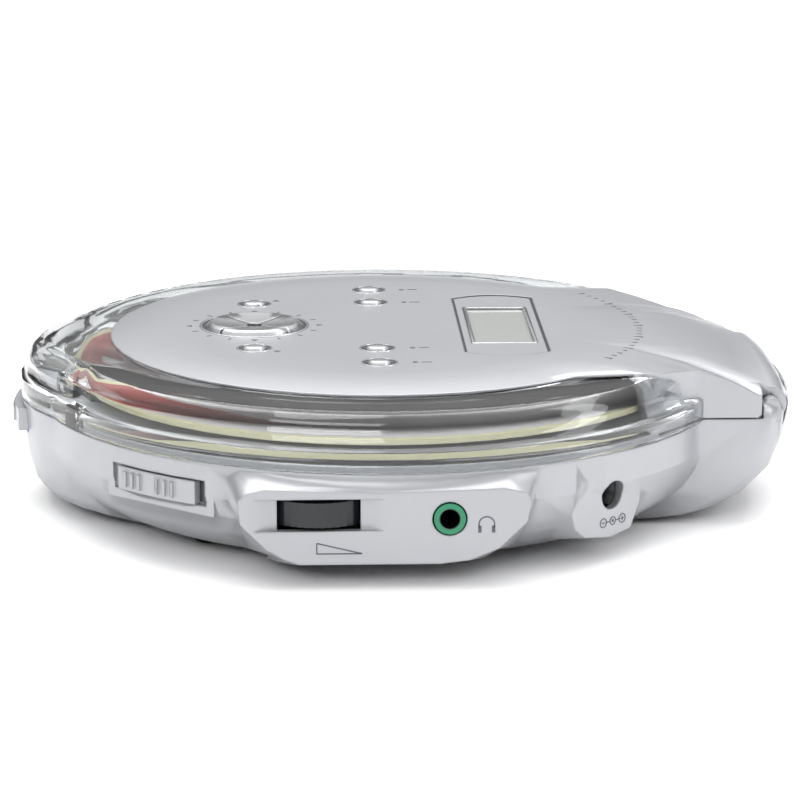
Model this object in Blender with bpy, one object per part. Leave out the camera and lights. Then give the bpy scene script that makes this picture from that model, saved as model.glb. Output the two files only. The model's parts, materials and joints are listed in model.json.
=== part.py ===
"""Portable compact disc player: a round body between a front tab and a rear hinge lobe.

Metres, +Z up. The long way of the player is X: the front tab is at -X, the lid hinge at +X,
and the row of controls is on the -Y side. The root empty stands on the disc's own axis.
"""
import math

import bmesh
import bpy
from mathutils import Matrix, Vector

# Sizes: the disc and the clearances
DISC_RADIUS = 0.0600
DISC_THICKNESS = 0.0012
DISC_HOLE_RADIUS = 0.0075
SEAT_GAP = 0.0003
RUN_GAP = 0.0004
STACK_GAP = 0.0001
OVERRUN = 0.0010

# Sizes: the body
WALL = 0.0018
BODY_MARGIN = 0.0080
BOWL_LIFT = 0.0014
HULL_LIFT = 0.0006
HULL_HALF_WIDTH = 0.0290
FRONT_OVERHANG = 0.0035
FRONT_ARC_MARGIN = 0.0110
REAR_OVERHANG = 0.0133
REAR_CORNER = 0.0040
FRONT_TUCK = 0.0106
REAR_TUCK = 0.0250
SIDE_TUCK = 0.0020
SPINE_RISE = 0.0028
SPINE_ROUND = 0.0020

# radius and height shares of the bowl, from the seam down to the flat bottom
BOWL_SHARES = ((1.000, 1.000), (1.000, 0.694), (0.978, 0.490), (0.947, 0.320), (0.909, 0.205),
               (0.859, 0.095), (0.824, 0.040), (0.740, 0.000))
# height, front, rear and side shares of the hull's tuck, from the bottom up to the seam
HULL_SHARES = ((0.000, 1.00, 1.00, 1.00), (0.020, 0.80, 0.80, 0.60), (0.054, 0.70, 0.61, 0.32),
               (0.113, 0.41, 0.48, 0.12), (0.240, 0.22, 0.30, 0.02), (0.480, 0.09, 0.11, 0.00),
               (0.775, 0.03, 0.016, 0.00), (1.000, 0.00, 0.00, 0.00))
# rise and rounding shares of the spine behind the lid
SPINE_SHARES = ((0.40, 0.10), (0.80, 0.45), (1.00, 1.00))

# Sizes: the control pods
POD_PROUD = 0.0010
POD_DEPTH = 0.0130
POD_LEFT = -0.0283
POD_RIGHT = 0.0252
POD_TOP_DROP = 0.0022
POD_BOTTOM_DROP = 0.0164
POD_FLARE = 0.0034
POD_SHARES = ((0.09, 0.00), (0.50, 0.06), (0.91, 0.00), (0.985, 0.06), (1.00, 0.17), (0.985, 0.45),
              (0.89, 0.80), (0.79, 0.955), (0.69, 1.00), (0.21, 1.00), (0.16, 0.93), (0.10, 0.80),
              (0.01, 0.46), (0.00, 0.14), (0.03, 0.05))

INLET_ANGLE = math.radians(-48.0)
INLET_SET_BACK = 0.0010
INLET_DEPTH = 0.0130
INLET_LEFT = -0.0155
INLET_RIGHT = 0.0032
INLET_TOP_DROP = 0.0043
INLET_BOTTOM_DROP = 0.0163
INLET_SHARES = ((0.15, 0.00), (0.96, 0.00), (1.00, 0.03), (1.00, 0.53), (0.86, 0.94), (0.56, 1.00),
                (0.19, 0.90), (0.05, 0.72), (0.00, 0.47), (0.11, 0.10))
INLET_FLARE = 0.0026
INLET_HOLE_RADIUS = 0.0028
INLET_HOLE_SHIFT = -0.0046
INLET_HOLE_DROP = 0.0081

WHEEL_RADIUS = 0.0110
WHEEL_THICKNESS = 0.0046
WHEEL_X = -0.0135
WHEEL_DROP = 0.0071
WHEEL_PROUD = 0.0003
WHEEL_TEETH = 48
WHEEL_TOOTH = 0.0004
WINDOW_WIDTH = 0.0152
WINDOW_HEIGHT = 0.0060
SCOOP_RADIUS = 0.0075
SCOOP_DEPTH = 0.0014
POT_SIZE = 0.0100
POT_SHAFT_RADIUS = 0.0015

JACK_X = 0.0103
JACK_DROP = 0.0079
JACK_NOSE_RADIUS = 0.0029
JACK_BORE_RADIUS = 0.0018
JACK_WIDTH = 0.0080
JACK_DEPTH = 0.0115
JACK_NOSE_PROUD = 0.0002
INLET_BODY_WIDTH = 0.0090
INLET_BODY_DEPTH = 0.0120
INLET_PIN_RADIUS = 0.0009
INLET_BORE_DEPTH = 0.0090

SLIDER_ANGLE = math.radians(-129.9)
SLIDER_WINDOW_LENGTH = 0.0226
SLIDER_WINDOW_HEIGHT = 0.0050
SLIDER_DROP = 0.0057
SLIDER_LENGTH = 0.0188
SLIDER_PROUD = 0.0003
SLIDER_FLOOR_DEPTH = 0.0028
SLIDER_RIB_COUNT = 3
SLIDER_RIB_PITCH = 0.0018
SLIDER_RIB_WIDTH = 0.0007
SLIDER_RIB_HEIGHT = 0.0005
SLIDER_RIB_SHARES = (-0.29, 0.14)
LEVER_LENGTH = 0.0030
LEVER_WIDTH = 0.0012
SWITCH_LENGTH = 0.0110
SWITCH_DEPTH = 0.0035
SWITCH_HEIGHT = 0.0040

# Sizes: the hinge
HINGE_INSET = 0.0065
HINGE_RISE = 0.0018
NOSE_RADIUS = 0.0045
NOSE_END_RADIUS = 0.0034
NOSE_INSET = 0.0053
CHEEK_WIDTH = 0.0030
KNUCKLE_RADIUS = 0.0018
HINGE_PIN_RADIUS = 0.0007
HINGE_PIN_LENGTH = 0.0058

# Sizes: the lid
FLANGE_HEIGHT = 0.0044
SHOULDER_INSET = 0.0025
CREST_INSET = 0.0055
CREST_RISE = 0.0109
CLEAR_THICKNESS = 0.0016
CLEAR_LIP_WIDTH = 0.0026
CLEAR_STEP_GAP = 0.0009
CLEAR_LIP_THICKNESS = 0.0011
TAB_STEP = 0.0012
TAB_ROUND = 0.0042
PLATE_INSET = 0.0090
PLATE_FALL_WIDTH = 0.0125
PLATE_RISE = 0.0127
PLATE_THICKNESS = 0.0012
PLATE_EDGE = 0.0003
LOBE_THICKNESS = 0.0016
SKIRT_THICKNESS = 0.0015
LOBE_SHOULDER_BACK = 0.0145
LOBE_SHOULDER_SIDE = 0.0240
LOBE_START_ANGLE = math.radians(48.5)
LOBE_TAIL_EDGE_RISE = 0.0030
LOBE_WING_EDGE_RISE = 0.0092
COVER_INSET = 0.0103
COVER_RISE = 0.0086
COVER_THICKNESS = 0.0008
LID_BOARD_THICKNESS = 0.0006
LID_BOARD_INSET = 0.0095
MAT_THICKNESS = 0.0002

PAD_X = -0.0250
PAD_RADIUS = 0.0094
PAD_DISH = 0.0007
PAD_PROUD = 0.0009
PAD_GAP = 0.0006
KEY_RADIUS = 0.0023
KEY_PROUD = 0.0006
KEY_FLANGE = 0.0005
KEY_FLANGE_THICKNESS = 0.0004
KEY_TRAVEL = 0.0004
PAD_KEY_OFFSET = 0.0198
MID_KEY_X = -0.0012
MID_KEY_OUTER = 0.0325
MID_KEY_INNER = 0.0205

BEZEL_X = 0.0238
BEZEL_WIDTH = 0.0160
BEZEL_HALF_LENGTH = 0.0270
BEZEL_ARC = 0.0030
BEZEL_SINK = 0.0002
BEZEL_THICKNESS = 0.0014
DISPLAY_WIDTH = 0.0124
DISPLAY_LENGTH = 0.0320
DISPLAY_SINK = 0.0006

LID_SCREW_INSET = 0.0055
LID_SCREW_COUNT = 3
LID_SCREW_RADIUS = 0.0009
LID_SCREW_HEAD_RADIUS = 0.0017
LID_SCREW_HEAD = 0.0004
LID_BOSS_RADIUS = 0.0021

# Sizes: the latch and the lid switch
BUTTON_HALF_WIDTH = 0.0100
BUTTON_HEIGHT = 0.0044
BUTTON_DROP = 0.0036
BUTTON_PROUD = 0.0012
BUTTON_TRAVEL = 0.0012
BUTTON_LEDGE = 0.0010
BUTTON_LEDGE_THICKNESS = 0.0008
BUTTON_SLACK = 0.0012
BUTTON_RIB = 0.0004
BUTTON_RIB_COUNT = 5
CLAW_HALF_WIDTH = 0.0036
CLAW_THICKNESS = 0.0014
CLAW_INSET = 0.0056
CLAW_DROP = 0.0048
CLAW_BARB = 0.0008
CLAW_BAR_RISE = 0.0016
CLAW_BAR_THICKNESS = 0.0020
CLAW_BAR_HALF_WIDTH = 0.0110
CLAW_BAR_DEPTH = 0.0083
HOOK_ARM = 0.0012
HOOK_DROP = 0.0026
HOOK_THICKNESS = 0.0013
PIN_INSET = 0.0071
PIN_Y = -0.0085
PIN_RADIUS = 0.0008
PIN_TOP_RISE = 0.0012
PIN_BOTTOM_DROP = 0.0060
PIN_TRAVEL = 0.0008
PIN_SWITCH_SIZE = 0.0044
PIN_SWITCH_HEIGHT = 0.0036
PIN_STAND_DROP = 0.0168

# Sizes: the deck and the drive
DECK_TOP_DROP = 0.0004
DECK_THICKNESS = 0.0016
DECK_HUB_RADIUS = 0.0165
DECK_SLOT_HALF_WIDTH = 0.0150
DECK_SLOT_INSET = 0.0090
DECK_RIM_INSET = 0.0050
DECK_RIM_WIDTH = 0.0014
DECK_RIM_HEIGHT = 0.0016

DISC_RISE = 0.0030
HUB_TABLE_RADIUS = 0.0130
HUB_TABLE_THICKNESS = 0.0013
HUB_BOSS_RADIUS = 0.0070
HUB_BOSS_HEIGHT = 0.0032
HUB_CLAW_COUNT = 3
HUB_CLAW_REACH = 0.0007
HUB_CLAW_WIDTH = 0.0028
HUB_CLAW_RISE = 0.0004
HUB_CLAW_HEIGHT = 0.0012
MOTOR_RADIUS = 0.0100
MOTOR_SHAFT_RADIUS = 0.0010

CHASSIS_DROP = 0.0048
CHASSIS_THICKNESS = 0.0012
CHASSIS_LIP = 0.0020
CHASSIS_BACK = 0.0165
CHASSIS_HALF_WIDTH = 0.0200
CHASSIS_BAR = 0.0052
CHASSIS_WELL_BACK = -0.0125
ROD_OFFSET = 0.0122
ROD_RADIUS = 0.0012
ROD_DROP = 0.0035
SCREW_RADIUS = 0.0013
SCREW_ROOT_RADIUS = 0.0009
POST_LENGTH = 0.0025
POST_WIDTH = 0.0044

SLED_LENGTH = 0.0150
SLED_HALF_WIDTH = 0.0086
SLED_BOTTOM_DROP = 0.0074
SLED_TOP_DROP = 0.0016
SLED_EAR_LENGTH = 0.0040
SLED_EAR_RADIUS = 0.0024
SLED_NUT_OFFSET = -0.0038
SLED_REST_X = -0.0300
LENS_OFFSET = -0.0040
LENS_RADIUS = 0.0020
LENS_RISE = 0.0030
LENS_BASE_LENGTH = 0.0062
LENS_BASE_WIDTH = 0.0120
SLED_MOTOR_RADIUS = 0.0028
SLED_MOTOR_LENGTH = 0.0082

DAMPER_RADIUS = 0.0024
DAMPER_HEIGHT = 0.0024
DAMPER_BACK_X = 0.0125
DAMPER_BACK_Y = 0.0160
DAMPER_FRONT_X = -0.0450
DAMPER_FRONT_Y = 0.0175

BOARD_DROP = 0.0110
BOARD_THICKNESS = 0.0012
BOARD_INSET = 0.0070
BOARD_BOSS_GAP = 0.0022
BOARD_CHORD = -0.0280
BOARD_CHIP_SIZE = 0.0120
BOARD_CHIP_HEIGHT = 0.0016
BOARD_POST_RADIUS = 0.0020
BOARD_POST_X = 0.0300
BOARD_POST_Y = -0.0400

CELL_RADIUS = 0.0071
CELL_LENGTH = 0.0492
CELL_NUB_RADIUS = 0.0026
CELL_NUB_LENGTH = 0.0012
CELL_PITCH = 0.0150
CELL_X = 0.0302
CELL_BASE = 0.0030
CELL_HEADROOM = 0.0018
CONTACT_THICKNESS = 0.0004
CONTACT_HALF_WIDTH = 0.0045
BAY_WALL = 0.0012
BAY_HEIGHT = 0.0120
DOOR_THICKNESS = 0.0016
DOOR_GRIP_DEPTH = 0.0006

SCREW_SPOT_X = 0.0455
SCREW_SPOT_Y = 0.0330
CASE_SCREW_RADIUS = 0.0011
CASE_SCREW_HEAD_RADIUS = 0.0022
CASE_SCREW_HEAD = 0.0012
CASE_BOSS_RADIUS = 0.0033
CASE_SCREW_BASE = 0.0046
FOOT_RADIUS = 0.0040
FOOT_HEIGHT = 0.0018
FOOT_X = 0.0240
FOOT_FRONT_X = -0.0330
FOOT_Y = 0.0350

SEGMENTS = 60
SMALL_SEGMENTS = 24
TINY_SEGMENTS = 12

# Derived places
BODY_RADIUS = DISC_RADIUS + BODY_MARGIN
SEAM_HEIGHT = CELL_BASE + CELL_RADIUS * 2 + CELL_HEADROOM + DECK_THICKNESS + DECK_TOP_DROP
FRONT_ARC_RADIUS = HULL_HALF_WIDTH + FRONT_ARC_MARGIN
NOSE_HALF_LENGTH = HULL_HALF_WIDTH - NOSE_INSET
BOARD_HALF_WIDTH = SCREW_SPOT_X - CASE_BOSS_RADIUS - BOARD_BOSS_GAP
FRONT_REACH = BODY_RADIUS + FRONT_OVERHANG
REAR_REACH = BODY_RADIUS + REAR_OVERHANG
POD_REACH = BODY_RADIUS + POD_PROUD
POD_ROOT = POD_REACH - POD_DEPTH
INLET_REACH = BODY_RADIUS - INLET_SET_BACK
INLET_ROOT = INLET_REACH - INLET_DEPTH
HINGE_X = REAR_REACH - HINGE_INSET
SHOULDER_RADIUS = BODY_RADIUS - SHOULDER_INSET
CREST_RADIUS = BODY_RADIUS - CREST_INSET
PLATE_RADIUS = CREST_RADIUS - PLATE_INSET
PLATE_FLAT_RADIUS = PLATE_RADIUS - PLATE_FALL_WIDTH
CLEAR_LIP_RADIUS = PLATE_RADIUS - CLEAR_LIP_WIDTH
CLEAR_STEP_RADIUS = PLATE_RADIUS - CLEAR_STEP_GAP
LOBE_SHOULDER_X = CREST_RADIUS - LOBE_SHOULDER_BACK
LOBE_SHOULDER_HALF_WIDTH = CREST_RADIUS - LOBE_SHOULDER_SIDE
COVER_RADIUS = CREST_RADIUS - COVER_INSET
LID_BOARD_RADIUS = PLATE_RADIUS - LID_BOARD_INSET
LID_SCREW_CIRCLE = PLATE_RADIUS - LID_SCREW_INSET
DECK_RIM_RADIUS = BODY_RADIUS - DECK_RIM_INSET
DECK_SLOT_END = DECK_SLOT_INSET - FRONT_REACH
CHASSIS_FRONT = DECK_SLOT_END - CHASSIS_LIP
CLAW_X = CLAW_INSET - FRONT_REACH
CLAW_BAR_BACK = CLAW_BAR_DEPTH - FRONT_REACH
PIN_X = PIN_INSET - FRONT_REACH
BOARD_RADIUS = BODY_RADIUS - BOARD_INSET
FRONT_EDGE = FRONT_REACH + BUTTON_PROUD + BUTTON_RIB
SPINDLE_X = (FRONT_EDGE - REAR_REACH) / 2
SPINDLE_Y = (POD_REACH + WHEEL_PROUD - BODY_RADIUS) / 2
HINGE_HEIGHT = SEAM_HEIGHT + HINGE_RISE
CHEEK_INNER = NOSE_HALF_LENGTH + RUN_GAP
TROUGH_RADIUS = NOSE_RADIUS + RUN_GAP
HOLLOW_REAR = HINGE_X - TROUGH_RADIUS - WALL
COVER_TOP = SEAM_HEIGHT + COVER_RISE + COVER_THICKNESS
LID_BOARD_BASE = COVER_TOP + STACK_GAP
MAT_BASE = LID_BOARD_BASE + LID_BOARD_THICKNESS + STACK_GAP
KEY_BASE = MAT_BASE + MAT_THICKNESS + KEY_TRAVEL + STACK_GAP
PLATE_TOP = SEAM_HEIGHT + PLATE_RISE
CLEAR_TOP = SEAM_HEIGHT + CREST_RISE
CELL_BACK_X = CELL_X + CELL_PITCH
BAY_FRONT = CELL_X - CELL_RADIUS - SEAT_GAP
BAY_BACK = CELL_BACK_X + CELL_RADIUS + SEAT_GAP
BAY_HALF_LENGTH = CELL_LENGTH / 2 + CELL_NUB_LENGTH / 2 + CONTACT_THICKNESS + SEAT_GAP * 2
DECK_BASE = SEAM_HEIGHT - DECK_TOP_DROP - DECK_THICKNESS
BOARD_TOP = SEAM_HEIGHT - BOARD_DROP
CHASSIS_TOP = SEAM_HEIGHT - CHASSIS_DROP
CHASSIS_BASE = CHASSIS_TOP - CHASSIS_THICKNESS
HUB_BASE = SEAM_HEIGHT + DISC_RISE - SEAT_GAP - HUB_TABLE_THICKNESS
MOTOR_BASE = CHASSIS_TOP + SEAT_GAP
MOTOR_TOP = HUB_BASE - SEAT_GAP


# Scene and small helpers
def clear_scene():
    for obj in list(bpy.data.objects):
        bpy.data.objects.remove(obj, do_unlink=True)
    for mesh in list(bpy.data.meshes):
        bpy.data.meshes.remove(mesh)


def srgb(code):
    """A hex colour as linear red, green, blue and alpha."""
    parts = [int(code[i:i + 2], 16) / 255 for i in (0, 2, 4)]
    return [c / 12.92 if c <= 0.04045 else ((c + 0.055) / 1.055) ** 2.4 for c in parts] + [1]


def material(name, colour, roughness, metallic=0.0, clear=0.0):
    mat = bpy.data.materials.get(name)
    if mat is None:
        mat = bpy.data.materials.new(name)
        mat.use_nodes = True
        shader = mat.node_tree.nodes["Principled BSDF"]
        shader.inputs["Base Color"].default_value = srgb(colour)
        shader.inputs["Roughness"].default_value = roughness
        shader.inputs["Metallic"].default_value = metallic
        shader.inputs["Transmission Weight"].default_value = clear
    return mat


def empty(name, place, parent=None):
    """An empty at a place given in the spindle frame."""
    obj = bpy.data.objects.new(name, None)
    bpy.context.scene.collection.objects.link(obj)
    obj["place"] = list(place)
    obj.parent = parent
    base = Vector(parent["place"]) if parent else Vector((0, 0, 0))
    obj.location = Vector(place) - base
    return obj


def add(name, bm, mat=None, parent=None, smooth=True):
    """An object from a bmesh whose points are in the spindle frame."""
    bmesh.ops.recalc_face_normals(bm, faces=bm.faces)
    mesh = bpy.data.meshes.new(name)
    bm.to_mesh(mesh)
    bm.free()
    obj = bpy.data.objects.new(name, mesh)
    bpy.context.scene.collection.objects.link(obj)
    if mat:
        mesh.materials.append(mat)
    if parent:
        seat(obj, parent)
    if smooth:
        mesh.shade_smooth()
        mesh.set_sharp_from_angle(angle=math.radians(30))
    return obj


def seat(obj, parent):
    """Parent an object without moving it: its points stay in the spindle frame."""
    obj.parent = parent
    obj.location = -Vector(parent["place"])


def combine(obj, tool, operation):
    """Cut, join or intersect the object with the tool, and delete the tool."""
    mod = obj.modifiers.new("shape", "BOOLEAN")
    mod.operation = operation
    mod.solver = "EXACT"
    mod.object = tool
    bpy.context.view_layer.update()
    graph = bpy.context.evaluated_depsgraph_get()
    mesh = bpy.data.meshes.new_from_object(obj.evaluated_get(graph))
    obj.modifiers.remove(mod)
    old = obj.data
    obj.data = mesh
    mesh.name = obj.name
    bpy.data.meshes.remove(old)
    bpy.data.objects.remove(tool, do_unlink=True)
    return obj


def cut(obj, tool):
    return combine(obj, tool, "DIFFERENCE")


def join(obj, tool):
    return combine(obj, tool, "UNION")


def keep(obj, tool):
    return combine(obj, tool, "INTERSECT")


def finish(obj, mat, parent):
    """Give a built-up solid its material, its parent and its shading."""
    bm = bmesh.new()
    bm.from_mesh(obj.data)
    bmesh.ops.remove_doubles(bm, verts=bm.verts, dist=1e-7)
    bmesh.ops.dissolve_degenerate(bm, edges=bm.edges, dist=1e-7)
    bmesh.ops.dissolve_limit(bm, angle_limit=math.radians(0.5), use_dissolve_boundaries=False,
                             verts=bm.verts, edges=bm.edges)
    bm.to_mesh(obj.data)
    bm.free()
    obj.data.materials.clear()
    obj.data.materials.append(mat)
    obj.data.shade_smooth()
    obj.data.set_sharp_from_angle(angle=math.radians(30))
    seat(obj, parent)
    return obj


# Unit solids, as bmesh
def loft(rings):
    """A closed solid through rings of equal point counts, capped at both ends."""
    bm = bmesh.new()
    rows = [[bm.verts.new(p) for p in ring] for ring in rings]
    count = len(rows[0])
    for low, high in zip(rows, rows[1:]):
        for i in range(count):
            j = (i + 1) % count
            bm.faces.new((low[i], low[j], high[j], high[i]))
    bm.faces.new(rows[0][::-1])
    bm.faces.new(rows[-1])
    return bm


def prism(outline, low, high):
    return loft([[(x, y, low) for x, y in outline], [(x, y, high) for x, y in outline]])


def side_prism(outline, y0, y1):
    """An X-Z outline carried along Y."""
    return loft([[(x, y0, z) for x, z in outline], [(x, y1, z) for x, z in outline]])


def box(x0, x1, y0, y1, z0, z1):
    return prism(((x0, y0), (x1, y0), (x1, y1), (x0, y1)), z0, z1)


def circle(radius, count, cx=0.0, cy=0.0, turn=0.0):
    """Points round a circle, started a share of one step further round."""
    step = 2 * math.pi / count
    return [(cx + radius * math.cos(step * (i + turn)),
             cy + radius * math.sin(step * (i + turn))) for i in range(count)]


def rod_z(radius, z0, z1, cx=0.0, cy=0.0, count=SMALL_SEGMENTS):
    return prism(circle(radius, count, cx, cy), z0, z1)


def rod_y(radius, y0, y1, cx, cz, count=SMALL_SEGMENTS):
    return side_prism(circle(radius, count, cx, cz), y0, y1)


def rod_x(radius, x0, x1, cy, cz, count=SMALL_SEGMENTS):
    ring = circle(radius, count, cy, cz)
    return loft([[(x0, y, z) for y, z in ring], [(x1, y, z) for y, z in ring]])


def turned(profile, count=SEGMENTS, cx=0.0, cy=0.0):
    """A closed radius-height outline turned round the Z axis; radius zero makes a pole."""
    bm = bmesh.new()
    rows = []
    for radius, z in profile:
        if radius <= 0:
            rows.append([bm.verts.new((cx, cy, z))] * count)
        else:
            rows.append([bm.verts.new((x, y, z)) for x, y in circle(radius, count, cx, cy)])
    for a, b in zip(rows, rows[1:] + rows[:1]):
        for i in range(count):
            j = (i + 1) % count
            corners = []
            for v in (a[i], a[j], b[j], b[i]):
                if v not in corners:
                    corners.append(v)
            if len(corners) > 2:
                bm.faces.new(corners)
    return bm


def solid(name, bm):
    return add(name, bm, smooth=False)


def turned_frame(bm, angle):
    """Turn a bmesh built with its face towards -Y so that the face looks along an angle."""
    bmesh.ops.rotate(bm, verts=bm.verts, cent=(0, 0, 0),
                     matrix=Matrix.Rotation(angle + math.pi / 2, 3, "Z"))
    return bm


# Outlines of the body
def rear_x(y, half, reach):
    """The rear end of the hull at a width y: an arc round the spindle with rounded corners."""
    over = abs(y) - (half - REAR_CORNER)
    corner = 0.0
    if over > 0:
        corner = REAR_CORNER - math.sqrt(max(REAR_CORNER ** 2 - over ** 2, 0.0))
    return math.sqrt(reach ** 2 - y ** 2) - corner


def hull_outline(front, rear, side, rear_limit=None):
    """The hull in plan, drawn in by the three insets."""
    half = HULL_HALF_WIDTH - side
    centre = FRONT_ARC_RADIUS - FRONT_REACH
    points = []
    steps = 10
    for i in range(steps + 1):
        y = half * math.cos(math.pi * i / steps)
        points.append((centre - math.sqrt((FRONT_ARC_RADIUS - front) ** 2 - y ** 2), y))
    steps = 14
    for i in range(steps + 1):
        y = -half * math.cos(math.pi * i / steps)
        x = rear_x(y, half, REAR_REACH - rear)
        if rear_limit is not None:
            x = min(x, rear_limit)
        points.append((x, y))
    return points


def hull_rings(inset=0.0, lift=0.0, spine=False, hollow=False):
    """Rings of the boat-like hull, bottom to top."""
    depth = SEAM_HEIGHT - HULL_LIFT
    rings = []
    for level, front, rear, side in HULL_SHARES:
        z = HULL_LIFT + depth * level
        limit = None
        if hollow:
            z = max(z, HULL_LIFT + lift + (z - HULL_LIFT) * (1 - lift / depth))
            if z > SEAM_HEIGHT - TROUGH_RADIUS - WALL * 2:
                limit = HOLLOW_REAR
        ring = hull_outline(FRONT_TUCK * front + inset, REAR_TUCK * rear + inset,
                            SIDE_TUCK * side + inset, limit)
        rings.append([(x, y, z) for x, y in ring])
    if spine:
        for rise, inset_share in SPINE_SHARES:
            draw = SPINE_ROUND * inset_share
            ring = hull_outline(draw, draw, draw)
            rings.append([(x, y, SEAM_HEIGHT + SPINE_RISE * rise) for x, y in ring])
    if hollow:
        ring = hull_outline(inset, inset, inset, HOLLOW_REAR)
        rings.append([(x, y, SEAM_HEIGHT + OVERRUN * 2) for x, y in ring])
    return rings


def bowl_profile(inset, lift, top):
    """The bowl's turned outline; the inside follows every second point of the outside."""
    depth = SEAM_HEIGHT - BOWL_LIFT
    points = [(0.0, top), (BODY_RADIUS - inset, top)]
    shares = BOWL_SHARES[:2] + BOWL_SHARES[2::2] if inset else BOWL_SHARES
    for radius, level in shares:
        z = BOWL_LIFT + lift + (depth - lift) * level
        points.append((BODY_RADIUS * radius - inset, z))
    points.append((0.0, BOWL_LIFT + lift))
    return points


def shares_outline(shares, left, right, top, bottom, grow=0.0):
    """A pod's face outline in width and height from its shares, grown outwards."""
    mid_x = (left + right) / 2
    mid_z = (top + bottom) / 2
    points = []
    for sx, sz in shares:
        x = left + (right - left) * sx
        z = top + (bottom - top) * sz
        points.append((x + grow * (1 if x > mid_x else -1), z + grow * (1 if z > mid_z else -1)))
    return points


def pod(shares, left, right, top, bottom, reach, root, flare, inset=0.0):
    """A raised pod: its face outline at the reach, flared to a wider root inside the bowl."""
    face = shares_outline(shares, left, right, top, bottom, -inset)
    foot = shares_outline(shares, left, right, top, bottom, flare - inset)
    return loft([[(x, -(reach - inset), z) for x, z in face], [(x, -root, z) for x, z in foot]])


# Materials
clear_scene()
SILVER = material("silver_plastic", "D9DADC", 0.38, 0.25)
CLEAR = material("clear_plastic", "F2F4F6", 0.05, 0.0, 1.0)
DARK = material("black_plastic", "16181C", 0.50)
RUBBER = material("black_rubber", "222326", 0.85)
GREEN = material("green_plastic", "1F6B50", 0.45)
STEEL = material("bright_steel", "C2C4C8", 0.25, 1.0)
BOARD = material("green_circuit_board", "1E5A3A", 0.55)
GLASS = material("display_glass", "BFC1BE", 0.20)
DISC = material("disc_print", "A5514B", 0.25)
GREY = material("grey_plastic", "8C8F94", 0.45)
JACKET = material("cell_jacket", "4A5560", 0.35, 0.4)
LENS = material("lens_glass", "8FA3C8", 0.05, 0.0, 0.6)

ROOT = bpy.data.objects.new("spindle_frame", None)
bpy.context.scene.collection.objects.link(ROOT)
ROOT["place"] = [0.0, 0.0, 0.0]
ROOT.location = (SPINDLE_X, SPINDLE_Y, 0)


# Bottom housing: bowl, hull, pods, hinge cheeks
def open_button_outline(half, grow):
    """The latch button in plan: its face follows the tab's own arc."""
    centre = FRONT_ARC_RADIUS - FRONT_REACH
    radius = FRONT_ARC_RADIUS + grow
    points = []
    for i in range(9):
        y = half - 2 * half * i / 8
        points.append((centre - math.sqrt(radius ** 2 - y ** 2), y))
    return points


def slider_floor():
    return math.sqrt(BODY_RADIUS ** 2 - (SLIDER_WINDOW_LENGTH / 2) ** 2) - SLIDER_FLOOR_DEPTH / 2


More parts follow.
